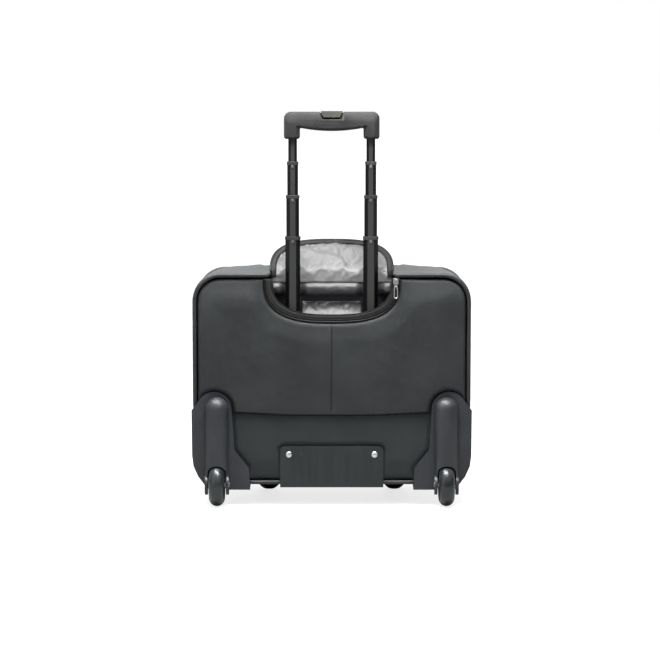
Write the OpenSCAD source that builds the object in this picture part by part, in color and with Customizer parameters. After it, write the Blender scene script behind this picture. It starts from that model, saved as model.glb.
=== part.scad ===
// A soft-sided pilot case on two wheels, with a four-stage telescopic trolley handle that stows
// in a pocket behind the rear panel. X runs across the case, Z is up, and depth is measured
// forwards (+Y) from the outer face of the rear panel. The origin is on the floor, at the middle
// of the whole object's box.

/* [Case body] */
// Width of the case over its rear piping
body_w = 440; // [438:1:460]
// Height of the top face above the floor
body_top = 370; // [366:1:374]
// Gap between the case's bottom and the floor
ground_gap = 33; // [32.5:0.5:34]
// Depth from the rear panel to the main zip
main_depth = 176; // [170:1:182]
// Depth of the front section, from the main zip to the front panel
lid_depth = 24; // [22:1:40]
// How far the soft top falls from the carry handle to the front
front_drop = 8; // [2:0.5:10]
// Radius of the case's four corners, seen from behind
corner_r = 45; // [40:1:50]
// Thickness of the padded walls
wall = 3.5; // [3:0.5:4]
// Thickness of the front and rear panels
panel_t = 4; // [3:0.5:4]
// Width of the rolled piping round the front and rear panels
piping_w = 9; // [7:0.5:10]

/* [Handle pocket] */
// Half width of the U-shaped opening at the outside of its binding
opening_a = 107; // [104:1:110]
// Depth of the opening below the rear panel's top edge
opening_b = 69; // [64:1:70]
// Width of the opening's binding and zip tape
binding_w = 10; // [8:0.5:11]
// Roundness of the opening and the cover: 2 is an ellipse, more is squarer
roundness = 2.8; // [2.4:0.1:3.2]
// Half width of the cover
cover_a = 98; // [92:1:98]
// Length of the cover's moving part
cover_l = 70; // [60:1:72]
// Angle that the open cover leans forwards from upright, in degrees
cover_lean = 52; // [40:1:60]

/* [Trolley handle] */
// Distance between the centres of the two tubes
tube_spacing = 123; // [118:1:126]
// Width of the innermost tube
tube_w = 13.8; // [13:0.2:14]
// Front-to-back size of the innermost tube
tube_t = 8.6; // [8:0.2:8.6]
// Wall thickness of every tube
tube_wall = 1.2; // [1:0.1:1.2]
// Clearance between one tube and the next
tube_gap = 0.4; // [0.4:0.05:0.5]
// Height of the first moving stage's collar above the floor
stage1_top = 427; // [420:1:430]
// Height of the second stage's collar above the floor
stage2_top = 492; // [488:1:494]
// Height of the third stage's collar above the floor
stage3_top = 545; // [542:1:547]
// Height of the underside of the grip's legs above the floor
grip_base = 580.5; // [580:0.5:590]
// Height of the grip from the underside of its legs
grip_h = 42.5; // [42:0.5:46]
// Width of the grip
grip_w = 150; // [149:1:156]
// Depth of the grip, front to back
grip_depth = 23; // [22:0.2:23.4]
// Travel of the release button
button_travel = 2.5; // [2:0.1:2.5]

/* [Wheels and feet] */
// Radius of the wheels
wheel_r = 34; // [33:0.5:34]
// Width of the wheels
wheel_w = 25; // [23:0.5:25]
// Distance of each wheel's centre from the middle of the case
wheel_x = 182; // [181:0.5:183]
// Depth of the axle; negative is behind the rear panel
wheel_d = -8; // [-9:0.5:-8]
// Radius of the axle
axle_r = 4; // [3.5:0.1:4]
// Distance of each front foot from the middle of the case
foot_x = 103; // [80:1:120]
// Depth of the front feet
foot_d = 153; // [120:1:153]

/* [Skid plate] */
// Half width of the skid plate
skid_hw = 82; // [76:1:90]
// Height of the skid plate's top edge above the floor
skid_top = 95; // [90:1:110]
// Thickness of the skid plate
skid_t = 3; // [2:0.5:3]

/* [Hidden] */

$fn = 64;
leather = "#4a4c4e";
moulded = "#3c3e42";
coated = "#3a3d3d";
steel = "#c9cbc8";
nylon = "#8d8d90";
rubber = "#2b2f31";

// Gap left between solids that meet without a fit, and the smaller one round a pin or a screw
gap = 0.3;
fit = 0.05;
body_hw = body_w / 2;
gusset_inset = 0.5;
inner_inset = gusset_inset + wall;
front_face = main_depth + lid_depth + panel_t;
front_d = front_face + 7.6;
rear_d = wheel_d - wheel_r;
back_y = -(front_d + rear_d) / 2;
panel_top = body_top - piping_w;
panel_bottom = ground_gap + piping_w;
kick_z = 146;
piping_back = 3;
piping_front = panel_t + 0.4;
lid_start = main_depth + 0.6;
fall_d = 130;
zip_h = 2.8;
zip_end_z = 60;

// How far each stage goes down into the next one out to stow, and the step that then separates
// their feet
tube_d = 17;
stow_step = 12;
stage2_stow = 58;
stage3_stow = 46;
inner_stow = 35;
stage1_foot = 192;
stage2_foot = stage1_foot + stage2_stow + stow_step;
stage3_foot = stage2_foot + stage3_stow + stow_step;
inner_foot = stage3_foot + inner_stow + stow_step;
outer_foot = 48;
outer_top = 288.5;
collar_h = 5;
plug_h = 8;
spigot_h = 3.5;
tube_step = tube_wall + tube_gap;
grip_top = grip_base + grip_h;
grip_socket_z = grip_top - 18;

hinge_d = 31;
hinge_z = body_top + 1.6;
cover_base_z = body_top - 18;
carry_d = 118;
carry_z = body_top + 7;
carry_x = 66;
carry_lean = 62;
carry_arch = 34;
carry_r = 8;

boss_r = 19;
boss_d = -7;
boss_z = 155;
boss_base = 30;
well_hw = 17;
cavity_hw = 14.5;
cavity_r = wheel_r + 2.5;
flange_t = 3.6;
flange_x = body_hw + 2;
housing_base = 24.9;
hub_r = 20;
bearing_r = 11;
bearing_w = 7;

rivet_x = 68;
rivet_z = 81.3;
rivet_d = 28;
rivet_r = 2;
skid_bottom = ground_gap - 4.3;
skid_back = 0.2;

// Screws that hold each wheel housing, from inside the case: across from the wheel, and height
housing_screws = [[24, 100], [24, 135], [-40, 46], [-32, 66]];
screw_r = 2;
frame_screw_x = 25;
bracket_screw_z = 46;
yoke_screw_z = 279;

// Points along an arc
function arc(cx, cy, r, a0, a1, steps = 12) =
    [for (i = [0:steps]) let (a = a0 + (a1 - a0) * i / steps) [cx + r * cos(a), cy + r * sin(a)]];

// A rounded rectangle about the middle plane, from z0 to z1
function panel_points(hw, z0, z1, r) = concat(
    arc(hw - r, z1 - r, r, 0, 90), arc(r - hw, z1 - r, r, 90, 180),
    arc(r - hw, z0 + r, r, 180, 270), arc(hw - r, z0 + r, r, 270, 360));

// The case's outline seen from behind, moved inwards by an inset, with its top lowered by a drop
function case_points(inset, drop = 0) =
    panel_points(body_hw - inset, ground_gap + inset, body_top - drop - inset, corner_r - inset);

// Half a superellipse below (side = -1) or above (side = 1) the X axis
function bow_points(a, b, side) = [
    for (i = [0:36]) let (t = i * 5, c = cos(t), s = sin(t))
        [a * sign(c) * pow(abs(c), 2 / roundness), side * b * pow(abs(s), 2 / roundness)]
];

// A tube's outline, grown by an offset from the innermost tube's outer face
function tube_points(grow) =
    let (w = tube_w / 2 + grow, t = tube_t / 2 + grow, c = 2.6 + grow * (2 - sqrt(2)))
    [[w, t - c], [w - c, t], [c - w, t], [-w, t - c], [-w, c - t], [c - w, -t], [w - c, -t], [w, c - t]];

// Extrudes an outline drawn in X and Z from depth d0 to depth d1
module slab(d0, d1)
    translate([0, back_y + d1, 0]) rotate([90, 0, 0]) linear_extrude(d1 - d0) children();

// A box from one corner to the other, with its Y given as a depth
module block(x0, x1, d0, d1, z0, z1)
    translate([x0, back_y + d0, z0]) cube([x1 - x0, d1 - d0, z1 - z0]);

// Puts a shape drawn about the origin at a place, with its Y given as a depth
module at(x, d, z) translate([x, back_y + d, z]) children();

// A cylinder along X, centred on the origin
module x_rod(r, length) rotate([0, 90, 0]) cylinder(r = r, h = length, center = true);

// A cylinder along Y from depth d0 to d1
module y_rod(x, z, r, d0, d1) translate([x, back_y + d1, z]) rotate([90, 0, 0]) cylinder(r = r, h = d1 - d0);

module both_sides() {
    children();
    mirror([1, 0, 0]) children();
}

module case_ring(outer, inner, d0, d1, drop = 0)
    slab(d0, d1) difference() {
        polygon(case_points(outer, drop));
        polygon(case_points(inner, drop));
    }

// The space over the case's top where it falls towards the front
module over_falling_top()
    at(-body_w, 0, 0) rotate([90, 0, 90]) linear_extrude(2 * body_w) polygon([
        [fall_d, body_top - gusset_inset + fit], [main_depth + 1, body_top - gusset_inset - front_drop],
        [main_depth + 1, body_top + 20], [fall_d, body_top + 20]]);

module opening_outline(inset)
    translate([0, panel_top])
        polygon(concat(bow_points(opening_a - inset, opening_b - inset, -1),
            [[inset - opening_a, 20], [opening_a - inset, 20]]));

// ---- Case body ----

module rear_upper_panels()
    color(leather) slab(0, panel_t) difference() {
        intersection() {
            polygon(case_points(piping_w));
            translate([-body_hw, kick_z + gap / 2]) square([body_w, body_top]);
        }
        opening_outline(-gap);
        translate([-gap / 2, 0]) square([gap, body_top]);
    }

module rear_kick_panel()
    color(leather) difference() {
        slab(0, panel_t) intersection() {
            polygon(case_points(piping_w));
            translate([-body_hw, 0]) square([body_w, kick_z - gap / 2]);
        }
        both_sides() {
            wheel_well(1);
            y_rod(rivet_x, rivet_z, rivet_r + fit, -1, panel_t + 1);
            for (p = housing_screws) y_rod(wheel_x + p.x, p.y, screw_r + fit, -1, panel_t + 1);
        }
    }

module rear_piping()
    color(leather) difference() {
        case_ring(0, piping_w - gap, -piping_back, piping_front);
        block(-opening_a, opening_a, -10, 10, panel_top - 5, body_top + 5);
        both_sides() wheel_well(1);
        both_sides() slab(-10, 0) polygon(flange_points(gap));
        block(-skid_hw - 1, skid_hw + 1, -10, skid_back, 0, skid_top);
    }

module main_gusset()
    color(leather) difference() {
        union() {
            case_ring(gusset_inset, inner_inset, piping_front + gap, fall_d);
            slab(fall_d - 1, main_depth - zip_h) difference() {
                polygon(case_points(gusset_inset));
                intersection() {
                    polygon(case_points(inner_inset));
                    translate([-body_w, 0]) square([2 * body_w, body_top - inner_inset - front_drop]);
                }
            }
            difference() {
                case_ring(gusset_inset, inner_inset, main_depth - zip_h - 1, main_depth);
                block(-body_hw, body_hw, 0, front_d, zip_end_z, body_top);
            }
        }
        block(-opening_a + binding_w, opening_a - binding_w, 0, hinge_d, body_top - 20, body_top);
        over_falling_top();
        both_sides() {
            wheel_well(1);
            at(rivet_x, rivet_d, 0) cylinder(r = rivet_r + fit, h = 60);
            at(foot_x, foot_d, 0) cylinder(r = 2.1, h = 60);
        }
    }

module opening_binding()
    color(rubber) slab(-1.2, panel_t + 0.5) difference() {
        opening_outline(0);
        opening_outline(binding_w);
        translate([-body_w, panel_top - gap]) square([2 * body_w, 40]);
    }

module pocket_lining()
    color(nylon) difference() {
        union() {
            block(-119, 119, hinge_d - 1.5, hinge_d, 250, cover_base_z);
            both_sides() block(117.5, 119, panel_t + 1, hinge_d, 250, body_top - inner_inset - gap);
        }
        both_sides() y_rod(frame_screw_x, yoke_screw_z, screw_r + fit, 0, main_depth);
    }

// The cover's fixed foot, which the cover turns on
module cover_base()
    color(nylon) block(-opening_a + binding_w + gap, opening_a - binding_w - gap, hinge_d - 1.6,
        hinge_d - 0.1, cover_base_z + gap, body_top - 1);

module back_board()
    color("#6b6256") difference() {
        slab(hinge_d + 1.5, hinge_d + 3.5) intersection() {
            polygon(case_points(inner_inset + 1.5));
            translate([-body_hw, 0]) square([body_w, body_top - 15]);
        }
        both_sides() for (z = [bracket_screw_z, yoke_screw_z])
            y_rod(frame_screw_x, z, screw_r + fit, 0, main_depth);
    }

module base_board()
    color("#6b6256") difference() {
        block(corner_r - body_hw + 5, body_hw - corner_r - 5, hinge_d + 5, main_depth - 4,
            ground_gap + inner_inset + 0.2, ground_gap + inner_inset + 3);
        both_sides() at(foot_x, foot_d, 0) cylinder(r = 2.1, h = 60);
    }

// One half of the main zip: tape and teeth, up one side, over the top and down the other
module zip_track(d0, d1)
    difference() {
        case_ring(0.3, inner_inset, d0, d1, front_drop);
        block(-body_hw, body_hw, 0, front_d, 0, zip_end_z + gap);
    }

module main_zip_rear()
    color(rubber) zip_track(main_depth - zip_h + 0.1, main_depth);

// ---- Wheel housings ----

// The flange's outline on the +X side, moved outwards by an offset where it meets other pieces
function flange_points(grow = 0) = concat(
    [[flange_x, 152 + grow]], arc(wheel_x + 4, 154.5, 27.5 + grow, 35, 180),
    [[154.4 - grow, 89], [131.5 - grow, 60.4 + grow], [129.5 - grow, housing_base]],
    [[199.6, housing_base], [202, 33], [212, 46], [219.5, 63], [flange_x - 0.4, 80]]);

// The space that a housing's wheel well takes in the case, with room round it
module wheel_well(room)
    block(wheel_x - well_hw - room, wheel_x + well_hw + room, -5, wheel_d + cavity_r + 2 + room, 0,
        wheel_r + cavity_r + 2 + room);

module boss()
    intersection() {
        union() {
            at(wheel_x, boss_d, boss_base) cylinder(r = boss_r, h = boss_z - boss_base);
            at(wheel_x, boss_d, boss_z) sphere(r = boss_r);
            block(wheel_x - boss_r, wheel_x + boss_r, boss_d, -skid_back, boss_base, boss_z);
            at(wheel_x, wheel_d, wheel_r) x_rod(16, 2 * boss_r);
        }
        block(0, body_w, -60, -skid_back, 0, body_top);
    }

// The room that the wheel turns in: a wheel's shape, with a slot down to the floor
module wheel_cavity() {
    at(wheel_x, wheel_d, wheel_r) rotate([0, 90, 0]) rotate_extrude() union() {
        translate([0, -cavity_hw]) square([cavity_r - cavity_hw, 2 * cavity_hw]);
        intersection() {
            translate([cavity_r - cavity_hw, 0]) circle(r = cavity_hw + fit);
            translate([cavity_r - cavity_hw - 1, -cavity_hw]) square([50, 2 * cavity_hw]);
        }
    }
    block(wheel_x - cavity_hw, wheel_x + cavity_hw, wheel_d - 40, wheel_d + cavity_r - 2, -1, wheel_r);
}

module wheel_housing()
    color(moulded) difference() {
        union() {
            slab(-flange_t - skid_back, -skid_back) polygon(flange_points());
            difference() {
                slab(-skid_back - 1, 22) intersection() {
                    polygon(flange_points());
                    translate([body_hw - 50, 0]) square([100, boss_z - 5]);
                }
                slab(-5, 30) polygon(case_points(-gap));
            }
            block(130, wheel_x + 12, -skid_back - 1, 40, housing_base, ground_gap - gap);
            boss();
            block(wheel_x - well_hw, wheel_x + well_hw, -1, wheel_d + cavity_r + 2, housing_base,
                wheel_r + cavity_r + 2);
        }
        wheel_cavity();
        at(wheel_x, wheel_d, wheel_r) x_rod(axle_r + fit, 60);
        for (p = housing_screws) y_rod(wheel_x + p.x, p.y, screw_r, -flange_t + 0.8, 1);
    }

module wheel_housing_left() mirror([1, 0, 0]) wheel_housing();
module wheel_housing_right() wheel_housing();

module wheel_axles()
    color(steel) both_sides() at(wheel_x, wheel_d, wheel_r) {
        x_rod(axle_r, 2 * boss_r + 1);
        for (side = [-1, 1]) translate([side * (cavity_hw - 1), 0, 0]) difference() {
            x_rod(6, 1.4);
            x_rod(axle_r + 0.02, 3);
        }
    }

// A screw along Y: its shank from depth d0 to d1, and its head in front of it
module front_screw(x, z, d0, d1) {
    y_rod(x, z, screw_r - fit, d0, d1 + 0.1);
    y_rod(x, z, 3.5, d1 + fit, d1 + 1.6);
}

module frame_screws()
    color(steel) both_sides() {
        for (p = housing_screws) front_screw(wheel_x + p.x, p.y, 1 - flange_t, panel_t);
        for (z = [bracket_screw_z, yoke_screw_z]) front_screw(frame_screw_x, z, 18, hinge_d + 3.5);
        at(foot_x, foot_d, 0) {
            translate([0, 0, 14]) cylinder(r = screw_r - fit, h = 27);
            translate([0, 0, ground_gap + inner_inset + 3.05]) cylinder(r = 3.5, h = 1.5);
        }
    }

// ---- Skid plate and feet ----

module skid_plate()
    color(moulded) difference() {
        union() {
            slab(-skid_t - skid_back, -skid_back) polygon(concat(
                arc(skid_hw - 8, skid_top - 8, 8, 0, 90), arc(8 - skid_hw, skid_top - 8, 8, 90, 180),
                [[-skid_hw, skid_bottom], [skid_hw, skid_bottom]]));
            for (i = [-5:5]) block(i * 12 - 1.5, i * 12 + 1.5, -skid_t - 0.7, -skid_t, 40, skid_top - 12);
            block(-skid_hw, skid_hw, -skid_back - 1, 42, skid_bottom, skid_bottom + skid_t);
        }
        both_sides() {
            y_rod(rivet_x, rivet_z, rivet_r + fit, -10, 10);
            at(rivet_x, rivet_d, 0) cylinder(r = rivet_r + fit, h = 60);
        }
    }

// A domed rivet on the origin, its shank along +Z
module rivet(shank) {
    cylinder(r = rivet_r, h = shank);
    intersection() {
        translate([0, 0, 5]) sphere(r = 7.1);
        translate([0, 0, -3]) cylinder(r = 5.2, h = 3);
    }
    translate([0, 0, shank - 1.2]) cylinder(r = 3.4, h = 1.2);
}

module skid_rivets()
    color(steel) both_sides() {
        at(rivet_x, -skid_t - skid_back, rivet_z) rotate([-90, 0, 0]) rivet(skid_t + skid_back + panel_t + 1.2);
        at(rivet_x, rivet_d, skid_bottom) rivet(ground_gap + inner_inset + 1.2 - skid_bottom);
    }

module front_feet()
    color(rubber) both_sides() at(foot_x, foot_d, 0) difference() {
        union() {
            intersection() {
                translate([0, 0, 18.3]) sphere(r = 20);
                cylinder(r = 20, h = 18.3);
            }
            translate([0, 0, 18.3]) cylinder(r = 20, h = ground_gap - 18.3 - 0.1);
            translate([0, 0, ground_gap - 4]) cylinder(r = 22, h = 3.9);
        }
        translate([0, 0, 13]) cylinder(r = screw_r, h = ground_gap);
    }

// ---- Trolley handle ----

module tube_pair(grow, z0, z1)
    both_sides() at(tube_spacing / 2, tube_d, z0) linear_extrude(z1 - z0) difference() {
        polygon(tube_points(grow));
        polygon(tube_points(grow - tube_wall));
    }

module outer_tubes() color(coated) tube_pair(4 * tube_step, outer_foot, outer_top);

module tube_base_bracket()
    color(moulded) difference() {
        block(-80, 80, 5.6, 29, outer_foot - 8, outer_foot + 6);
        both_sides() at(tube_spacing / 2, tube_d, outer_foot - 0.1)
            linear_extrude(20) polygon(tube_points(4 * tube_step + 0.1));
        both_sides() y_rod(frame_screw_x, bracket_screw_z, screw_r, 17, 40);
    }

module tube_top_yoke()
    color(moulded) difference() {
        block(-82, 82, 5, hinge_d - 1.8, outer_top - 18.5, outer_top);
        both_sides() at(tube_spacing / 2, tube_d, 0)
            linear_extrude(body_top) polygon(tube_points(4 * tube_step + 0.1));
        both_sides() y_rod(frame_screw_x, yoke_screw_z, screw_r, 17, 40);
    }

// A moving stage's tubes, from its guide plugs up into its collars
module stage_tubes(level, foot, top)
    color(coated) difference() {
        tube_pair(level * tube_step, foot + plug_h, top - 1.5);
        both_sides() y_rod(tube_spacing / 2, top - 9.8, 2.25, -20, tube_d);
    }

// The collars that close a stage's top, each with the snap tab that holds it
module stage_collars(level, top)
    color(moulded) both_sides() at(tube_spacing / 2, tube_d, 0) {
        translate([0, 0, top - collar_h]) linear_extrude(collar_h - 1.5) difference() {
            polygon(tube_points(level * tube_step + 0.6));
            polygon(tube_points(level * tube_step + 0.02));
        }
        translate([0, 0, top - 1.5]) linear_extrude(1.5) difference() {
            polygon(tube_points(level * tube_step + 0.6));
            polygon(tube_points((level - 1) * tube_step + 0.3));
        }
        translate([0, -tube_t / 2 - level * tube_step + tube_wall, top - 9.8])
            rotate([90, 0, 0]) cylinder(r = 2.2, h = tube_wall + 0.2);
    }

// The guide plugs in the foot of a tube pair, which run in the next tube out
module guide_plugs(level, foot)
    color("#55585c") both_sides() at(tube_spacing / 2, tube_d, foot) {
        linear_extrude(plug_h) polygon(tube_points(level * tube_step + 0.1));
        linear_extrude(plug_h + spigot_h) polygon(tube_points(level * tube_step - tube_wall - fit));
    }

module stage1_tubes() stage_tubes(3, stage1_foot, stage1_top);
module stage1_collars() stage_collars(3, stage1_top);
module stage1_plugs() guide_plugs(3, stage1_foot);
module stage2_tubes() stage_tubes(2, stage2_foot, stage2_top);
module stage2_collars() stage_collars(2, stage2_top);
module stage2_plugs() guide_plugs(2, stage2_foot);
module stage3_tubes() stage_tubes(1, stage3_foot, stage3_top);
module stage3_collars() stage_collars(1, stage3_top);
module stage3_plugs() guide_plugs(1, stage3_foot);

module inner_tubes() color(coated) tube_pair(0, inner_foot + plug_h, grip_socket_z);
module inner_plugs() guide_plugs(0, inner_foot);

// The grip seen from behind: a bar on two legs, with its underside bellied in the middle
function grip_points() = let (hw = grip_w / 2, leg = hw - 25, inner_z = grip_base + 17.5) concat(
    arc(hw - 10.5, grip_top - 10.5, 10.5, 0, 90, 8), arc(10.5 - hw, grip_top - 10.5, 10.5, 90, 180, 8),
    [[-hw, grip_base + 2.5], [2.5 - hw, grip_base], [-leg - 2.5, grip_base], [-leg, grip_base + 2.5]],
    [for (i = [0:16]) let (t = i / 8 - 1) [leg * t, inner_z - 5 * (1 - t * t)]],
    [[leg, grip_base + 2.5], [leg + 2.5, grip_base], [hw - 2.5, grip_base], [hw, grip_base + 2.5]]);

// The grip's section from front to back, with its two upper edges cut away
function grip_section(inset) = let (h = grip_depth / 2 - inset) [
    [-h, grip_base - 1], [-h, grip_top - 13], [-h + 5, grip_top + 2], [h - 5, grip_top + 2],
    [h, grip_top - 13], [h, grip_base - 1]];

module grip_prism(inset)
    at(-grip_w / 2 - 1, tube_d, 0) rotate([90, 0, 90]) linear_extrude(grip_w + 2)
        polygon(grip_section(inset));

// The release button's outline, grown by the gap round it
function button_points(grow, drop) = [
    [-17.5 - grow, grip_top + 1 + grow], [-13 - grow, grip_top - 8.5 - drop],
    [13 + grow, grip_top - 8.5 - drop], [17.5 + grow, grip_top + 1 + grow]];

module grip_shell(d0, d1)
    color(moulded) difference() {
        intersection() {
            slab(d0, d1) polygon(grip_points());
            grip_prism(0);
        }
        slab(0, 40) polygon(button_points(1.5, button_travel + 0.4));
        block(-grip_w / 2 + 8, grip_w / 2 - 8, tube_d - 9, tube_d + 9, grip_top - 22, grip_top - 7);
        both_sides() at(tube_spacing / 2, tube_d, grip_base - 1)
            linear_extrude(grip_socket_z - grip_base + 1.1) polygon(tube_points(0.03));
    }

module grip_rear_shell() grip_shell(tube_d - grip_depth / 2, tube_d - 0.02);
module grip_front_shell() grip_shell(tube_d + 0.02, tube_d + grip_depth / 2);

module release_button()
    color("#2c2d30") union() {
        intersection() {
            slab(0, 40) polygon(button_points(0, 0));
            grip_prism(0.4);
        }
        block(-4, 4, tube_d - 4, tube_d + 4, grip_top - 11.9, grip_top - 8);
    }

// Two rods down the inner tubes, which the button pushes through a bar
module push_rods()
    color(steel) {
        block(-tube_spacing / 2 - 3, tube_spacing / 2 + 3, tube_d - 3, tube_d + 3, grip_top - 15,
            grip_top - 12);
        both_sides() at(tube_spacing / 2, tube_d, inner_foot + plug_h + spigot_h + 3)
            cylinder(r = 2, h = grip_top - 14 - inner_foot - plug_h - spigot_h - 3);
    }

spring_r = 4;
spring_turns = 4;
spring_low = grip_top - 21.4;
spring_high = grip_top - 15.6;

// A ring of the spring's wire at one point along its helix
function wire_ring(t) = let (a = 360 * t) [
    for (i = [0:7]) let (b = 45 * i, r = spring_r + 0.4 * cos(b))
        [r * cos(a), r * sin(a), spring_low + (spring_high - spring_low) * t / spring_turns + 0.4 * sin(b)]
];

module button_spring() {
    rings = spring_turns * 12;
    points = [for (k = [0:rings]) each wire_ring(k / 12)];
    sides = [for (k = [0:rings - 1], i = [0:7]) let (j = (i + 1) % 8)
        [8 * k + i, 8 * k + 8 + i, 8 * k + 8 + j, 8 * k + j]];
    color(steel) at(0, tube_d, 0) polyhedron(points,
        concat([[for (i = [0:7]) i]], sides, [[for (i = [7:-1:0]) 8 * rings + i]]));
}

// ---- Wheels ----

module tyre()
    color(rubber) at(wheel_x, wheel_d, wheel_r) rotate([0, 90, 0]) rotate_extrude($fn = 96)
        intersection() {
            translate([hub_r, -wheel_w / 2]) square([wheel_r - hub_r, wheel_w]);
            union() {
                translate([wheel_r - wheel_w / 2, 0]) circle(r = wheel_w / 2);
                translate([0, -wheel_w / 2]) square([wheel_r - wheel_w / 2, wheel_w]);
            }
        }

module hub()
    color(moulded) at(wheel_x, wheel_d, wheel_r) difference() {
        x_rod(hub_r - 0.02, wheel_w - 2);
        for (side = [-1, 1]) translate([side * 8, 0, 0]) x_rod(bearing_r + 0.02, bearing_w + 1);
        x_rod(bearing_r - 1.5, wheel_w);
        for (side = [-1, 1], a = [0:60:300]) rotate([a, 0, 0]) translate([side * 12, 15.5, 0]) x_rod(2.6, 6);
    }

module bearings()
    color(steel) at(wheel_x, wheel_d, wheel_r) for (side = [-1, 1]) translate([side * 7.5, 0, 0])
        difference() {
            x_rod(bearing_r, bearing_w);
            x_rod(axle_r + 0.04, bearing_w + 1);
        }

module tyre_left() mirror([1, 0, 0]) tyre();
module hub_left() mirror([1, 0, 0]) hub();
module bearings_left() mirror([1, 0, 0]) bearings();
module tyre_right() tyre();
module hub_right() hub();
module bearings_right() bearings();

// ---- Handle pocket's cover, drawn upright and then leant forwards ----

module leant_cover(d0, d1)
    at(0, hinge_d, hinge_z) rotate([-cover_lean, 0, 0]) translate([0, d1, 0]) rotate([90, 0, 0])
        linear_extrude(d1 - d0) children();

module cover_outline(inset)
    intersection() {
        polygon(bow_points(cover_a - inset, cover_l - inset, 1));
        translate([-body_w, 3]) square([2 * body_w, cover_l]);
    }

module handle_cover() color(nylon) leant_cover(-1.2, 1.2) cover_outline(8.3);

module cover_binding()
    color(rubber) leant_cover(-1.8, 1.8) difference() {
        cover_outline(0);
        cover_outline(8);
    }

// ---- Sliders and pulls ----

cover_slider_x = 101;
cover_pull_z = panel_top - 2;
cover_pull_d = -6;
pin_r = 0.8;

// The closed eye on a slider, which a pull's pin turns in, with its axis along X at the origin
module eye()
    difference() {
        cube([2.4, 3.8, 3.8], center = true);
        x_rod(pin_r + 0.2, 3);
    }

module cover_slider()
    color(steel) union() {
        block(cover_slider_x - 4, cover_slider_x + 4, -4.6, -1.4, panel_top - 8, panel_top + 1);
        at(cover_slider_x, cover_pull_d, cover_pull_z) eye();
    }

// A hanging pull: an open loop below a slot, closed by the pin that it turns on at the origin
module pull(length, width) {
    difference() {
        translate([-width / 2, -pin_r, -length]) cube([width, 2 * pin_r, length]);
        translate([-width / 2 + 1.6, -2, -length + 1.8]) cube([width - 3.2, 4, length - 9]);
        translate([-1.7, -2, -5.4]) cube([3.4, 4, 6]);
    }
    x_rod(pin_r, width);
}

module cover_pull()
    color(steel) at(cover_slider_x, cover_pull_d, cover_pull_z) pull(29, 7);

// A slider on the main zip's top run
module top_slider(x)
    color(steel) {
        block(x - 7, x + 7, main_depth - 2.6, main_depth + 6, top_pull_z - 5.7, top_pull_z - 1.5);
        at(x, top_pull_d, top_pull_z) eye();
    }

top_slider_x = 22;
top_pull_d = main_depth + 4;
top_pull_z = body_top - front_drop + 6;

module main_slider_left() top_slider(-top_slider_x);
module main_slider_right() top_slider(top_slider_x);

module top_pull(x)
    color(steel) at(x, top_pull_d, top_pull_z) rotate([90, 0, 0]) pull(28, 8);

module main_pull_left() top_pull(-top_slider_x);
module main_pull_right() top_pull(top_slider_x);

// ---- Carry handle ----

module carry_brackets()
    color(moulded) both_sides() {
        difference() {
            union() {
                block(carry_x - 12, carry_x + 12, carry_d - 9, carry_d + 9, body_top - 0.3, body_top + 1.8);
                for (x = [-8, 5.6]) block(carry_x + x, carry_x + x + 2.4, carry_d - 4.5, carry_d + 4.5,
                    body_top + 1.5, carry_z + 3.5);
            }
            at(carry_x, carry_d, carry_z) x_rod(2.02, 40);
        }
        at(carry_x, carry_d, carry_z) x_rod(2, 17);
    }

module carry_handle()
    color(leather) at(0, carry_d, carry_z) rotate([-carry_lean, 0, 0]) {
        both_sides() difference() {
            union() {
                translate([carry_x, 0, 0]) x_rod(4.4, 10);
                translate([carry_x - 5, -2.5, 0]) cube([10, 5, carry_arch]);
            }
            translate([carry_x, 0, 0]) x_rod(2.06, 20);
        }
        translate([0, 0, carry_arch]) x_rod(carry_r, 2 * carry_x - 4);
        both_sides() translate([carry_x - 2, 0, carry_arch]) sphere(r = carry_r);
    }

// ---- Front section ----

module lid_gusset()
    color(leather) union() {
        case_ring(gusset_inset, inner_inset, lid_start + zip_h, front_face - piping_front - gap,
            front_drop);
        difference() {
            case_ring(gusset_inset, inner_inset, lid_start, lid_start + zip_h + 1, front_drop);
            block(-body_hw, body_hw, 0, front_d, zip_end_z, body_top);
        }
    }

module lid_zip() color(rubber) zip_track(lid_start, lid_start + zip_h - 0.1);

module lid_inner_panel()
    color(nylon) slab(lid_start + 0.2, lid_start + 2.2)
        polygon(case_points(inner_inset + gap, front_drop));

module front_panel()
    color(leather) slab(front_face - panel_t, front_face) polygon(case_points(piping_w, front_drop));

module lid_piping()
    color(leather) case_ring(0, piping_w - gap, front_face - piping_front, front_face + piping_back,
        front_drop);

pocket_top = 280;

module front_pocket()
    color(leather) slab(front_face + 0.2, front_face + 3.2) polygon(panel_points(172, 58, pocket_top, 22));

pocket_slider_x = 110;
pocket_pull_d = front_face + 5.7;
pocket_pull_z = pocket_top + 5;

module pocket_slider()
    color(steel) {
        block(pocket_slider_x - 4.5, pocket_slider_x + 4.5, front_face + 0.4, front_face + 4,
            pocket_top + 1, pocket_top + 10);
        at(pocket_slider_x, pocket_pull_d, pocket_pull_z) eye();
    }

module pocket_pull() color(steel) at(pocket_slider_x, pocket_pull_d, pocket_pull_z) pull(28, 8);

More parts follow.
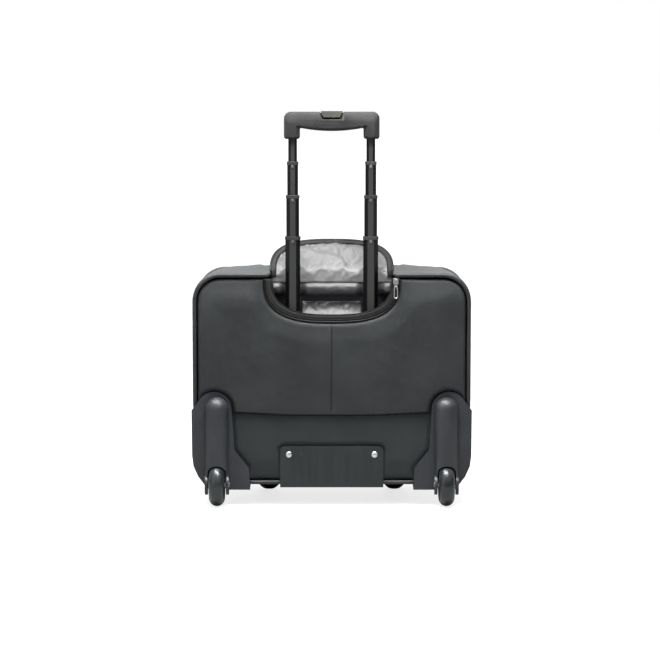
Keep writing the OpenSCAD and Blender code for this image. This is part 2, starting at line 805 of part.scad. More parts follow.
rear_upper_panels();
rear_kick_panel();
rear_piping();
main_gusset();
opening_binding();
cover_slider();
pocket_lining();
cover_base();
back_board();
base_board();
wheel_housing_left();
wheel_housing_right();
wheel_axles();
frame_screws();
skid_plate();
skid_rivets();
front_feet();
outer_tubes();
tube_base_bracket();
tube_top_yoke();
main_zip_rear();
carry_brackets();
stage1_tubes();
stage1_collars();
stage1_plugs();
stage2_tubes();
stage2_collars();
stage2_plugs();
stage3_tubes();
stage3_collars();
stage3_plugs();
inner_tubes();
inner_plugs();
grip_rear_shell();
grip_front_shell();
button_spring();
release_button();
push_rods();
tyre_left();
hub_left();
bearings_left();
tyre_right();
hub_right();
bearings_right();
handle_cover();
cover_binding();
cover_pull();
lid_gusset();
lid_piping();
front_panel();
lid_inner_panel();
front_pocket();
lid_zip();
pocket_slider();
pocket_pull();
main_slider_left();
main_slider_right();
main_pull_left();
main_pull_right();
carry_handle();
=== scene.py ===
# The looks of the rolling pilot case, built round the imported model. Lengths are in millimetres
# until a mesh is made. A place is (x, d, z): d is the depth in front of the rear panel's outer
# face, so a smaller d is nearer to the camera.
import math

import bpy
import numpy as np
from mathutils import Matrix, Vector, noise
from mathutils.geometry import delaunay_2d_cdt


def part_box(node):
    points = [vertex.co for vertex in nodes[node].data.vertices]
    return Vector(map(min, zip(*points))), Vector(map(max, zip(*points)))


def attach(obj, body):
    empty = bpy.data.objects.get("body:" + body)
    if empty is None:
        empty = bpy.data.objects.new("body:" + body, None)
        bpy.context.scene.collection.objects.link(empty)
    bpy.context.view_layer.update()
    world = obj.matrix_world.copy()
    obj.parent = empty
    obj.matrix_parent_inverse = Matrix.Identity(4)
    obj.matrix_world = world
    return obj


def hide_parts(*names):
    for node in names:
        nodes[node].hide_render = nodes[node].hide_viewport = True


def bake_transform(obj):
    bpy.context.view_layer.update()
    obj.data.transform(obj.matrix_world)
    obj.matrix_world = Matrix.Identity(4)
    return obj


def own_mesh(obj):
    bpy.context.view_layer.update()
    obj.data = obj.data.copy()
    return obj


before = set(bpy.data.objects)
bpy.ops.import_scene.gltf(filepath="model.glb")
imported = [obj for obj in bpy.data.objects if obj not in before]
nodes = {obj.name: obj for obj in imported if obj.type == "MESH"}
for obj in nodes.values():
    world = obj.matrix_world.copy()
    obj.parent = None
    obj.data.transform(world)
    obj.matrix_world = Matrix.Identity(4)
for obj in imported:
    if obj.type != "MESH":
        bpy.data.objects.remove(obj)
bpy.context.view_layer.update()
MM = 0.001
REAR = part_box("rear_upper_panels")[0].y


def span(node):
    """A CAD node's box as (x0, x1), (d0, d1), (z0, z1), in millimetres."""
    low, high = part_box(node)
    return [(low.x / MM, high.x / MM), ((low.y - REAR) / MM, (high.y - REAR) / MM),
            (low.z / MM, high.z / MM)]


def place(x, d, z):
    return (x * MM, REAR + d * MM, z * MM)


# ---- The sizes that the frame gives ----

(_, CASE_HW), _, (CASE_Z0, CASE_Z1) = span("rear_piping")
CORNER_R = 45
ROW_STEP = 0.866
PIPE_W = CASE_HW - span("front_panel")[0][1]
FRONT_DROP = CASE_Z1 - span("lid_piping")[2][1]
FALL_D = 118
SEAM_Z = span("rear_kick_panel")[2][1]
GUSSET_D1 = span("main_gusset")[1][1]
ZIP_D0 = span("main_zip_rear")[1][0]
LID_D0 = span("lid_gusset")[1][0]
LID_D1 = span("lid_gusset")[1][1]
FRONT_D = span("front_panel")[1][1]
OPEN_A = span("opening_binding")[0][1]
PANEL_TOP = CASE_Z1 - PIPE_W
OPEN_B = PANEL_TOP - span("opening_binding")[2][0]
BINDING_W = 10
ROUNDNESS = 2.8
HINGE_D = span("cover_base")[1][1] + 0.1
HINGE_Z = CASE_Z1 + 1.6
COVER_LEAN = math.radians(52)
COVER_A = span("cover_binding")[0][1]
COVER_L = 70
TUBE_D = sum(span("inner_tubes")[1]) / 2
OUTER_TUBE_HW, YOKE_HW = 13.3, 20.5
TUBE_X = (span("outer_tubes")[0][1] + span("tube_top_yoke")[0][1] - (OUTER_TUBE_HW + YOKE_HW)) / 2
CARRY_D, CARRY_Z = 118, CASE_Z1 + 7
CARRY_LEAN = math.radians(62)


# ---- Outlines and meshes ----

def arc(cx, cz, r, a0, a1, step):
    count = max(2, round(abs(math.radians(a1 - a0)) * r / step))
    angles = [math.radians(a0 + (a1 - a0) * i / count) for i in range(count + 1)]
    return [(cx + r * math.cos(a), cz + r * math.sin(a)) for a in angles]


def line(p, q, step):
    count = max(1, round(math.dist(p, q) / step))
    return [tuple(a + (b - a) * i / count for a, b in zip(p, q)) for i in range(count + 1)]


def joined(*runs):
    """Runs of points end to end, without the points that two runs share."""
    out = []
    for run in runs:
        out += [p for i, p in enumerate(run) if i or not out or math.dist(out[-1], p) > 0.01]
    return out


def rounded(hw, z0, z1, r, step=4):
    """A rounded rectangle about the middle plane, anticlockwise from the middle of its top."""
    points = joined(
        line((0, z1), (r - hw, z1), step), arc(r - hw, z1 - r, r, 90, 180, step),
        line((-hw, z1 - r), (-hw, z0 + r), step), arc(r - hw, z0 + r, r, 180, 270, step),
        line((r - hw, z0), (hw - r, z0), step), arc(hw - r, z0 + r, r, 270, 360, step),
        line((hw, z0 + r), (hw, z1 - r), step), arc(hw - r, z1 - r, r, 0, 90, step),
        line((hw - r, z1), (0, z1), step))
    return points[:-1]


def case_outline(inset, step=4):
    return rounded(CASE_HW - inset, CASE_Z0 + inset, CASE_Z1 - inset, CORNER_R - inset, step)


def fall(x, d, z):
    """The height of a point of the case's outline at a depth: the soft top falls to the front, and
    sooner at its corners."""
    soon = float(smooth(abs(x), 150, 200))
    drop = FRONT_DROP * float(smooth(d, FALL_D - 108 * soon, ZIP_D0 - 82 * soon))
    return z - drop * float(smooth(z, CASE_Z1 - 2 * CORNER_R, CASE_Z1 - CORNER_R))


def bow(a, b, side, steps=72):
    """Half a superellipse, from +X over to -X: below the X axis for side -1, above it for 1."""
    out = []
    for i in range(steps + 1):
        t = math.pi * i / steps
        c, s = math.cos(t), abs(math.sin(t))
        out.append((a * math.copysign(abs(c) ** (2 / ROUNDNESS), c), side * b * s ** (2 / ROUNDNESS)))
    return out


def even(points, step):
    """The same open line, with its points evenly spaced."""
    p = np.array(points, float)
    along = np.concatenate([[0], np.cumsum(np.linalg.norm(np.diff(p, axis=0), axis=1))])
    at = np.linspace(0, along[-1], max(2, round(along[-1] / step)) + 1)
    return [tuple(np.interp(t, along, p[:, k]) for k in range(p.shape[1])) for t in at]


def opening(inset, step=3):
    """The U of the handle opening's edge, moved inwards."""
    points = [(x, PANEL_TOP + z) for x, z in bow(OPEN_A - inset, OPEN_B - inset, -1)]
    return even(points, step)


def away(points, path, closed=True):
    """How far each point is from a path, in millimetres."""
    p, a = np.array(points, float), np.array(path, float)
    b = np.roll(a, -1, axis=0) if closed else a[1:]
    a = a if closed else a[:-1]
    run = b - a
    size = np.maximum((run ** 2).sum(1), 1e-9)
    best = np.full(len(p), 1e9)
    for k in range(len(a)):
        t = np.clip(((p - a[k]) @ run[k]) / size[k], 0, 1)
        best = np.minimum(best, np.linalg.norm(p - a[k] - t[:, None] * run[k], axis=1))
    return best


def inside(points, outline):
    p, a = np.array(points, float), np.array(outline, float)
    b = np.roll(a, -1, axis=0)
    hits = np.zeros(len(p), bool)
    for (x0, z0), (x1, z1) in zip(a, b):
        if z0 != z1:
            cross = (z0 > p[:, 1]) != (z1 > p[:, 1])
            hits ^= cross & (p[:, 0] < (x1 - x0) * (p[:, 1] - z0) / (z1 - z0) + x0)
    return hits


def smooth(t, low, high):
    t = np.clip((t - low) / (high - low), 0, 1)
    return t * t * (3 - 2 * t)


def rough(points, size, seed=0.0, octaves=3):
    """Smooth noise from about -1 to 1 at each point, its bumps about size millimetres wide."""
    return np.array([noise.fractal(Vector([c / size for c in p] + [seed] * (3 - len(p))), 1.0, 2.0,
                                   octaves) for p in points])


def build(name, points, faces, material, body, slot, replaces=(), second=None):
    """A smooth-shaded mesh from (x, d, z) points, riding on a body."""
    mesh = bpy.data.meshes.new(name)
    mesh.from_pydata([place(*p) for p in points], [], faces)
    mesh.validate()
    mesh.polygons.foreach_set("use_smooth", [True] * len(mesh.polygons))
    mesh.materials.append(material)
    if second:
        mesh.materials.append(second)
    piece = bpy.data.objects.new(name, mesh)
    bpy.context.scene.collection.objects.link(piece)
    if body:
        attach(piece, body)
    if replaces:
        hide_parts(*replaces)
    return piece


def thicken(piece, thickness, lining=False, offset=-1):
    """Gives a sheet its thickness, with its second material on the inside if it is lined."""
    m = piece.modifiers.new("thickness", "SOLIDIFY")
    m.thickness, m.offset = thickness * MM, offset
    m.use_even_offset = True
    if lining:
        m.material_offset = 1
    return piece


def settled(piece, held, pull, slack, steps=40):
    """Lets a piece's cloth, cut a little too large, fall into folds between the points that are held."""
    scene = bpy.context.scene
    group = piece.vertex_groups.new(name="held")
    group.add([int(i) for i in held], 1.0, "REPLACE")
    cloth = piece.modifiers.new("cloth", "CLOTH")
    c = cloth.settings
    c.quality, c.mass, c.air_damping = 8, 0.02, 3.0
    c.tension_stiffness = c.compression_stiffness = 20
    c.shear_stiffness, c.bending_stiffness = 4, 0.02
    c.vertex_group_mass = group.name
    c.shrink_min = c.shrink_max = -slack
    cloth.collision_settings.use_collision = False
    before, scene.gravity = scene.gravity.copy(), pull
    scene.frame_start, scene.frame_end = 1, steps
    for number in range(1, steps + 1):
        scene.frame_set(number)
    shape = piece.evaluated_get(bpy.context.evaluated_depsgraph_get()).data
    places = [v.co.copy() for v in shape.vertices]
    piece.modifiers.remove(cloth)
    piece.vertex_groups.remove(group)
    for vertex, co in zip(piece.data.vertices, places):
        vertex.co = co
    scene.gravity = before
    scene.frame_set(1)


def filled(outline, lines=(), step=4.0):
    """Triangles that fill an outline, with edges along the lines and other points a step apart."""
    fixed, edges = [], []
    for run, closed in [(outline, True)] + [(p, False) for p in lines]:
        first = len(fixed)
        fixed += [Vector(p) for p in run]
        edges += [(first + i, first + i + 1) for i in range(len(run) - 1)]
        if closed:
            edges.append((first + len(run) - 1, first))
    low, high = np.min(outline, axis=0), np.max(outline, axis=0)
    lattice = [(x + (row % 2) * step / 2, z)
               for row, z in enumerate(np.arange(low[1], high[1], step * ROW_STEP))
               for x in np.arange(low[0], high[0], step)]
    keep = inside(lattice, outline) & (away(lattice, outline) > 0.5 * step)
    for run in lines:
        keep &= away(lattice, run, False) > 0.45 * step
    free = [Vector(p) for p, k in zip(lattice, keep) if k]
    verts, _, faces, *_ = delaunay_2d_cdt(fixed + free, edges, [], 0, 1e-4)
    centres = [sum((verts[i] for i in f), Vector((0, 0))) / len(f) for f in faces]
    kept = [list(f) for f, k in zip(faces, inside(centres, outline)) if k]
    return np.array([list(v) for v in verts]), kept


def tidied(points, faces):
    """Drops the points that no face uses."""
    used = sorted({i for f in faces for i in f})
    number = {old: new for new, old in enumerate(used)}
    return [points[i] for i in used], [[number[i] for i in f] for f in faces]


def grid_faces(rows, columns, closed=False, skip=None, looped=False):
    """Quads between rows of points. Closed rows join their own ends, and looped ones also join the
    last row to the first."""
    faces = []
    for r in range(rows if looped else rows - 1):
        here, after = r * columns, (r + 1) % rows * columns
        for c in range(columns if closed else columns - 1):
            beside_c = (c + 1) % columns
            if not (skip and skip(r, c)):
                faces.append([here + c, here + beside_c, after + beside_c, after + c])
    return faces


def end_caps(rows, sides):
    return [list(range(sides))[::-1], [(rows - 1) * sides + s for s in range(sides)]]


def frames_along(path, normal, closed=False):
    """A path's points, with the direction across it and its normal at each."""
    p = np.array(path, float)
    ahead = np.roll(p, -1, axis=0) - np.roll(p, 1, axis=0)
    if not closed:
        ahead[0], ahead[-1] = p[1] - p[0], p[-1] - p[-2]
    ahead /= np.linalg.norm(ahead, axis=1)[:, None]
    across = np.cross(ahead, np.broadcast_to(np.array(normal, float), p.shape))
    across /= np.linalg.norm(across, axis=1)[:, None]
    return p, across, np.cross(across, ahead)


def sweep(path, section, normal, closed=False, swell=None):
    """A tube along a path of (x, d, z) points. The section is (across, out) points."""
    p, across, n = frames_along(path, normal, closed)
    points = []
    for i in range(len(p)):
        k = 1.0 if swell is None else swell[i]
        points += [tuple(p[i] + k * (a * across[i] + o * n[i])) for a, o in section]
    faces = grid_faces(len(p), len(section), True, looped=closed)
    return points, faces if closed else faces + end_caps(len(p), len(section))


def oval(a, b, sides=14):
    return [(a * math.cos(2 * math.pi * i / sides), b * math.sin(2 * math.pi * i / sides))
            for i in range(sides)]


def merged(parts):
    """Several (points, faces) as one."""
    points, faces = [], []
    for p, f in parts:
        first = len(points)
        points += list(p)
        faces += [[first + i for i in face] for face in f]
    return points, faces


def stitches(path, normal, length=3.0, gap=1.1, r=0.32, lift=0.1):
    """A row of stitches: short rounded threads that dip into the material at both ends."""
    p = np.array(even(path, 0.4), float)
    n = np.array(normal, float)
    per, pitch = round(length / 0.4), round((length + gap) / 0.4)
    parts = []
    for start in range(0, len(p) - per, pitch):
        run = p[start:start + per + 1]
        arch = np.sin(np.linspace(0, math.pi, len(run)))
        pts = run + n * (arch * (r + lift) - 0.5 * r)[:, None]
        parts.append(sweep(pts[::2], oval(r, r, 6), normal))
    return merged(parts)


def box_points(x0, x1, d0, d1, z0, z1):
    points = [(x, d, z) for x in (x0, x1) for d in (d0, d1) for z in (z0, z1)]
    faces = [[0, 1, 3, 2], [4, 6, 7, 5], [0, 4, 5, 1], [2, 3, 7, 6], [0, 2, 6, 4], [1, 5, 7, 3]]
    return points, faces


def bevelled(piece, width, segments, angle):
    bevel = piece.modifiers.new("bevel", "BEVEL")
    bevel.width, bevel.segments = width * MM, segments
    bevel.limit_method, bevel.angle_limit = "ANGLE", math.radians(angle)
    bevel.harden_normals = True


def rounded_edges(piece, width, segments=3):
    """Rounds the sharp edges of a hard part, on a CAD node or a piece built here."""
    weld = piece.modifiers.new("weld", "WELD")
    weld.merge_threshold = 0.00002
    flat = piece.modifiers.new("flat", "DECIMATE")
    flat.decimate_type = "DISSOLVE"
    flat.angle_limit = math.radians(0.5)
    bevelled(piece, width, segments, 28)


# ---- Materials ----

def ramped(tree, value, numbers):
    """A value eased from its low and high to two other numbers, in any node tree."""
    node = tree.nodes.new("ShaderNodeMapRange")
    node.interpolation_type = "SMOOTHSTEP"
    tree.links.new(value, node.inputs["Value"])
    for key, number in zip(("From Min", "From Max", "To Min", "To Max"), numbers):
        node.inputs[key].default_value = number
    return node.outputs["Result"]


class Surface:
    """A procedural material. Sizes are in millimetres, on the piece's own coordinates."""

    def __init__(self, name, roughness, **sockets):
        self.material = bpy.data.materials.new(name)
        self.material.use_nodes = True
        self.tree = self.material.node_tree
        self.bsdf = self.tree.nodes["Principled BSDF"]
        self.place = self.add("ShaderNodeTexCoord").outputs["Object"]
        self.bsdf.inputs["Roughness"].default_value = roughness
        for socket, value in sockets.items():
            self.bsdf.inputs[socket.replace("_", " ")].default_value = value

    def add(self, kind, **values):
        node = self.tree.nodes.new(kind)
        for key, value in values.items():
            setattr(node, key, value)
        return node

    def link(self, source, target):
        self.tree.links.new(source, target)

    def scaled(self, scale):
        mapping = self.add("ShaderNodeMapping")
        mapping.inputs["Scale"].default_value = scale
        self.link(self.place, mapping.inputs["Vector"])
        return mapping.outputs["Vector"]

    def noise(self, size, detail=3.0, stretch=None):
        node = self.add("ShaderNodeTexNoise")
        node.inputs["Scale"].default_value = 1 / (size * MM)
        node.inputs["Detail"].default_value = detail
        self.link(self.scaled(stretch) if stretch else self.place, node.inputs["Vector"])
        return node.outputs["Fac"]

    def pebbles(self, size, warp=0.35):
        """Rounded leather pebbles, from 0 in the creases to 1."""
        bend = self.add("ShaderNodeTexNoise")
        bend.inputs["Scale"].default_value = 1 / (size * 1.7 * MM)
        self.link(self.place, bend.inputs["Vector"])
        shift = self.add("ShaderNodeVectorMath", operation="MULTIPLY_ADD")
        self.link(bend.outputs["Color"], shift.inputs[0])
        shift.inputs[1].default_value = [warp * size * MM] * 3
        self.link(self.place, shift.inputs[2])
        cells = self.add("ShaderNodeTexVoronoi", feature="DISTANCE_TO_EDGE")
        cells.inputs["Scale"].default_value = 1 / (size * MM)
        self.link(shift.outputs["Vector"], cells.inputs["Vector"])
        return self.ramp(cells.outputs["Distance"], 0.0, 0.22, 0.0, 1.0)

    def ribs(self, size):
        """Threads that run side by side."""
        wave = self.add("ShaderNodeTexWave", wave_type="BANDS", bands_direction="DIAGONAL")
        wave.inputs["Scale"].default_value = 0.314 / (size * MM)
        wave.inputs["Distortion"].default_value = 0.6
        wave.inputs["Detail Scale"].default_value = 2.0
        self.link(self.place, wave.inputs["Vector"])
        return wave.outputs["Fac"]

    def ramp(self, value, *numbers):
        return ramped(self.tree, value, numbers)

    def sum(self, a, b, share):
        """Value a plus a share of value b."""
        node = self.add("ShaderNodeMath", operation="MULTIPLY_ADD")
        self.link(b, node.inputs[0])
        node.inputs[1].default_value = share
        self.link(a, node.inputs[2])
        return node.outputs["Value"]

    def blend(self, value, dark, light):
        node = self.add("ShaderNodeMix", data_type="RGBA")
        self.link(value, node.inputs[0])
        node.inputs[6].default_value = (*dark, 1)
        node.inputs[7].default_value = (*light, 1)
        return node.outputs[2]

    def finish(self, colour, roughness=None, height=None, depth=0.2):
        self.link(colour, self.bsdf.inputs["Base Color"])
        if roughness is not None:
            self.link(roughness, self.bsdf.inputs["Roughness"])
        if height is not None:
            bump = self.add("ShaderNodeBump")
            bump.inputs["Distance"].default_value = depth * MM
            bump.inputs["Strength"].default_value = 1.0
            self.link(height, bump.inputs["Height"])
            self.link(bump.outputs["Normal"], self.bsdf.inputs["Normal"])
        return self.material


def leather(name, dark, light, rough, pebble, depth):
    """Coated leather: pebbled grain, worn paler in broad patches, with a soft sheen."""
    s = Surface(name, rough, Specular_IOR_Level=0.42)
    grain, broad = s.pebbles(pebble), s.noise(70, 2.0)
    fine = s.noise(pebble * 0.4, 2.0)
    tone = s.sum(s.ramp(broad, 0.3, 0.75, 0.1, 0.75), grain, 0.25)
    height = s.sum(grain, fine, 0.35)
    return s.finish(s.blend(tone, dark, light), s.ramp(broad, 0.3, 0.7, rough - 0.05, rough + 0.07),
                    height, depth)


def woven(name, dark, light, rough, thread, depth, sheen=0.0, specular=0.4):
    """Cloth or tape: fine ribs with loose fibres and uneven dye."""
    s = Surface(name, rough, Sheen_Weight=sheen, Sheen_Roughness=0.4, Specular_IOR_Level=specular)
    ribs, fibre, broad = s.ribs(thread), s.noise(thread * 0.7, 2.0), s.noise(35, 2.0)
    tone = s.sum(s.ramp(broad, 0.3, 0.7, 0.2, 0.8), ribs, 0.2)
    return s.finish(s.blend(tone, dark, light), s.ramp(fibre, 0.3, 0.7, rough - 0.06, rough + 0.08),
                    s.sum(ribs, fibre, 0.5), depth)


def painted_shade_grade(name, low, high, z_low, z_high):
    """Satin lining painted one tone below a height and another above it, with a ragged border between them:
    painted light and shade that stand for how the light falls on the lining.
    """
    s = Surface(name, 0.40, Sheen_Weight=0.25, Sheen_Roughness=0.4)
    split = s.add("ShaderNodeSeparateXYZ")
    s.link(s.place, split.inputs[0])
    ribs, fibre, cloud = s.ribs(0.45), s.noise(0.3, 2.0), s.noise(16, 3.0)
    uneven = 6
    height = s.sum(split.outputs["Z"], cloud, uneven * MM)
    tone = s.ramp(height, (z_low + uneven / 2) * MM, (z_high + uneven / 2) * MM, 0.0, 1.0)
    return s.finish(s.blend(tone, low, high), s.ramp(fibre, 0.3, 0.7, 0.36, 0.48), s.sum(ribs, fibre, 0.5),
                    0.05)


def plastic(name, dark, light, rough, spark, depth, specular=0.5):
    """Moulded plastic or rubber with a fine spark texture and faint scuffs."""
    s = Surface(name, rough, Specular_IOR_Level=specular)
    sparks, scuffs = s.noise(spark, 3.0), s.noise(22, 5.0, (1.0, 1.0, 0.35))
    return s.finish(s.blend(s.ramp(scuffs, 0.35, 0.75, 0.0, 1.0), dark, light),
                    s.ramp(scuffs, 0.3, 0.75, rough, rough + 0.1), sparks, depth)


def metal(name, dark, light, rough, brushed=(1.0, 1.0, 1.0)):
    """Plated or brushed metal with fine scratches."""
    s = Surface(name, rough, Metallic=1.0)
    lines, cloud = s.noise(0.5, 4.0, brushed), s.noise(9, 3.0)
    return s.finish(s.blend(s.ramp(cloud, 0.3, 0.7, 0.0, 1.0), dark, light),
                    s.ramp(lines, 0.3, 0.7, rough - 0.05, rough + 0.12), lines, 0.02)


def shade_sided_tube(name, half):
    """A glossy tube, painted near black at its sides and paler in a satin band down its face, for the two
    tubes of a stage: the black sides are painted shade and dark reflection.
    """
    s = Surface(name, 0.3, Specular_IOR_Level=0.5)
    split = s.add("ShaderNodeSeparateXYZ")
    s.link(s.place, split.inputs[0])
    offset = split.outputs["X"]
    for operation, value in (("ABSOLUTE", 0.0), ("SUBTRACT", TUBE_X * MM), ("ABSOLUTE", 0.0)):
        node = s.add("ShaderNodeMath", operation=operation)
        s.link(offset, node.inputs[0])
        node.inputs[1].default_value = value
        offset = node.outputs[0]
    rim = s.ramp(offset, (half - 0.35) * MM, (half + 0.35) * MM, 0.0, 1.0)
    fine, scuffs = s.noise(0.3, 2.0), s.noise(22, 5.0, (1.0, 1.0, 0.35))
    # Painted shade and dark reflection: near black outside the band down the face.
    colour = s.blend(s.sum(rim, s.ramp(scuffs, 0.35, 0.75, 0.0, 1.0), 0.06), (0.026, 0.028, 0.026),
                     (0.003, 0.003, 0.003))
    return s.finish(colour, s.ramp(rim, 0.0, 1.0, 0.42, 0.2), s.sum(rim, fine, 0.02), 0.5)


def grey(value, blue=0.0):
    return (value * (1 - blue), value, value * (1 + blue))


LEATHER = leather("grained_leather", (0.0095, 0.0115, 0.0125), (0.018, 0.021, 0.023), 0.50, 1.5, 0.14)
PIPING = leather("piping_leather", (0.014, 0.015, 0.016), (0.024, 0.026, 0.027), 0.42, 1.2, 0.10)
KICK = leather("kick_leather", (0.009, 0.013, 0.0135), (0.016, 0.022, 0.023), 0.58, 1.1, 0.22)
GUSSET = leather("gusset_leather", (0.016, 0.018, 0.020), (0.028, 0.031, 0.033), 0.36, 1.4, 0.10)
TAPE = woven("zip_tape", grey(0.010), grey(0.022), 0.62, 0.8, 0.12)
BINDING = woven("edge_binding", grey(0.006), grey(0.015), 0.60, 0.9, 0.14, 0.0, 0.3)
COIL = plastic("zip_coil", grey(0.004), grey(0.008), 0.40, 0.3, 0.02, 0.25)
THREAD = woven("thread", grey(0.018), grey(0.040), 0.60, 0.5, 0.06)
# Painted light and shade: the cover's satin is painted paler low down, where it lies in shade, and darker at
# the top, where the overhead lamp falls on it.
SHADE_PAINTED_SATIN = painted_shade_grade("cover_lining", grey(0.20), grey(0.088), 364, 382)
# Painted shade: the hem is painted near black low on its roll, where it turns down into shade, and pale at
# its top, where the light falls.
SHADE_PAINTED_HEM = painted_shade_grade("hem_lining_painted_shade", (0.008, 0.007, 0.010), grey(0.072), 336, 349)
# Painted shade: the slack cloth is painted pale low down and near black at its top, where it lies in the
# shade under the hem.
SHADE_PAINTED_SLACK = painted_shade_grade("slack_lining", grey(0.085), (0.010, 0.008, 0.012), 309, 322)
# Painted shade: the pocket's wall is a near-black sheet that stands for the shade inside the pocket, under
# the hem and the cover.
SHADE_PAINTED_WALL = woven("pocket_lining", (0.006, 0.005, 0.008), (0.014, 0.012, 0.018), 0.60, 0.5, 0.06)
CASE_LINING = woven("case_lining", grey(0.10), grey(0.15), 0.60, 0.6, 0.10, 0.2)
MOULDED = plastic("moulded_plastic", (0.019, 0.021, 0.025), (0.028, 0.031, 0.036), 0.40, 0.45, 0.04)
SKID = plastic("skid_plastic", (0.010, 0.0135, 0.0145), (0.016, 0.020, 0.022), 0.42, 0.45, 0.04)
GRIP = plastic("grip_plastic", grey(0.013), grey(0.021), 0.50, 0.40, 0.04, 0.35)
BUTTON = plastic("button_plastic", (0.013, 0.012, 0.009), (0.021, 0.019, 0.014), 0.45, 0.4, 0.02, 0.3)
TUBE = plastic("coated_tube", (0.016, 0.017, 0.016), (0.024, 0.025, 0.023), 0.30, 0.25, 0.01, 0.6)
COLLAR = plastic("collar_plastic", grey(0.026), grey(0.040), 0.32, 0.3, 0.02)
TYRE = plastic("tyre_rubber", (0.013, 0.016, 0.018), (0.020, 0.024, 0.026), 0.24, 0.5, 0.01)
HUB = plastic("hub_plastic", grey(0.08), grey(0.12), 0.40, 0.4, 0.03)
FOOT = plastic("foot_rubber", grey(0.020), grey(0.034), 0.45, 0.5, 0.04)
NICKEL = metal("nickel_plate", (0.62, 0.61, 0.58), (0.76, 0.75, 0.72), 0.26)
STEEL = metal("turned_steel", grey(0.55), grey(0.72), 0.28, (0.2, 1.0, 1.0))

NODE_MATERIALS = {
    LEATHER: "rear_upper_panels front_panel front_pocket carry_handle handle_cover",
    PIPING: "rear_piping lid_piping", KICK: "rear_kick_panel", GUSSET: "main_gusset lid_gusset",
    BINDING: "opening_binding cover_binding", TAPE: "main_zip_rear lid_zip",
    SHADE_PAINTED_WALL: "pocket_lining", SHADE_PAINTED_HEM: "cover_base",
    CASE_LINING: "lid_inner_panel back_board base_board",
    MOULDED: "wheel_housing_left wheel_housing_right tube_base_bracket tube_top_yoke carry_brackets",
    SKID: "skid_plate", GRIP: "grip_rear_shell grip_front_shell", BUTTON: "release_button",
    COLLAR: "stage1_collars stage2_collars stage3_collars "
            "stage1_plugs stage2_plugs stage3_plugs inner_plugs",
    TUBE: "outer_tubes", shade_sided_tube("stage1_tube", 5.2): "stage1_tubes",
    shade_sided_tube("stage2_tube", 4.4): "stage2_tubes", shade_sided_tube("stage3_tube", 3.6): "stage3_tubes",
    shade_sided_tube("inner_tube", 3.0): "inner_tubes",
    STEEL: "wheel_axles frame_screws push_rods button_spring bearings_left bearings_right",
    NICKEL: "skid_rivets cover_slider cover_pull pocket_slider pocket_pull "
            "main_slider_left main_slider_right main_pull_left main_pull_right",
    TYRE: "tyre_left tyre_right", HUB: "hub_left hub_right", FOOT: "front_feet",
}
for surface, names in NODE_MATERIALS.items():
    for name in names.split():
        node = bpy.data.objects[name]
        for slot in node.material_slots:
            slot.material = surface
        if not node.material_slots:
            node.data.materials.append(surface)


# ---- Sewn pieces ----

def leather_skin(name, points, faces, material, body, node, fill, thickness=0.0, lined=False):
    """A padded leather piece that stands for a CAD node."""
    piece = build(name, points, faces, material, body, "leather", [node], CASE_LINING if lined else None)
    if thickness:
        thicken(piece, thickness, lined)


def sewn(name, rows, normal, body, slot, *sizes):
    """Rows of stitches, as one piece."""
    build(name, *merged([stitches(row, normal, *sizes) for row in rows]), THREAD, body, slot)


# ---- Rear panels ----

SPINE_TOP = PANEL_TOP - OPEN_B
SEAM_ROWS = (1.3, 2.8)
SEAM_STITCH = 3.2
REARWARD = (0, -1, 0)


def seam_height(x):
    """The kick panel's top seam, which sags between the wheel housings."""
    return SEAM_Z - 0.4 + 4 * float(smooth(abs(x), 50, 160))


def flange_outline(side):
    """A wheel housing's outline against the panel: round at the top, and wider towards its foot."""
    (inner, edge), _, (low, _) = span("wheel_housing_right")
    middle, crown_z, crown_r = 186, 154.5, 27.5
    points = joined([(edge, crown_z - 2.5)], arc(middle, crown_z, crown_r, 35, 180, 4),
                    [(154.4, 89), (131.5, 60.4), (inner, low), (edge, low)])
    return [(side * x, z) for x, z in points]


(_, SKID_HW), _, (SKID_LOW, SKID_TOP) = span("skid_plate")
SKID_OUTLINE = rounded(SKID_HW, SKID_LOW, SKID_TOP, 8)
HARDWARE = [flange_outline(1), flange_outline(-1), SKID_OUTLINE]


def clear_of_hardware(flat, reach=6):
    """0 under the housings and the skid plate, rising to 1 a little way outside them."""
    free = np.ones(len(flat))
    for outline in HARDWARE:
        free *= np.where(inside(flat, outline), 0, smooth(away(flat, outline), 0, reach))
    return free


def groove(distance, width, depth):
    return -depth * np.exp(-(distance / width) ** 2)


def turned_in(edge):
    """How far a panel turns in where it meets its rolled edge."""
    return 1.8 * np.exp(-np.maximum(edge, 0) / 2.2)


def wrinkles(flat, seed, edge):
    """Soft rumples over the whole panel, and puckers that run in from its sewn edges."""
    broad = rough(flat * [1, 0.8], 62, seed, 2) * 0.9
    fine = rough(flat, 19, seed + 5) * 0.28
    pucker = rough(flat, 6.5, seed + 9, 2) * 0.34 * np.exp(-edge / 12)
    return broad + fine + pucker


def panel_rise(flat, edge, seams, seed):
    """How far a padded panel stands proud of its flat backing."""
    rise = 3.6 * smooth(edge, -6, 38) + wrinkles(flat, seed, np.minimum(edge, seams)) - turned_in(edge)
    rise *= 1 - 0.3 * np.exp(-seams / 5)
    return rise + groove(seams, 1.0, 0.9)


EDGE = case_outline(PIPE_W)
SEAM_LINE = [(x, seam_height(x)) for x in np.linspace(-211, 211, 106)]
SPINE = line((0, seam_height(0)), (0, SPINE_TOP), 4)


def beside(run, offset):
    return [(x, z + offset) for x, z in run]


SKIN = []


def on_skin(run, lift):
    """A path on the rear panels' own surface, from its (x, z) points."""
    skin = np.array(SKIN)
    nearest = [np.argmin((skin[:, 0] - x) ** 2 + (skin[:, 2] - z) ** 2) for x, z in run]
    return [(x, skin[i, 1] - lift, z) for (x, z), i in zip(run, nearest)]


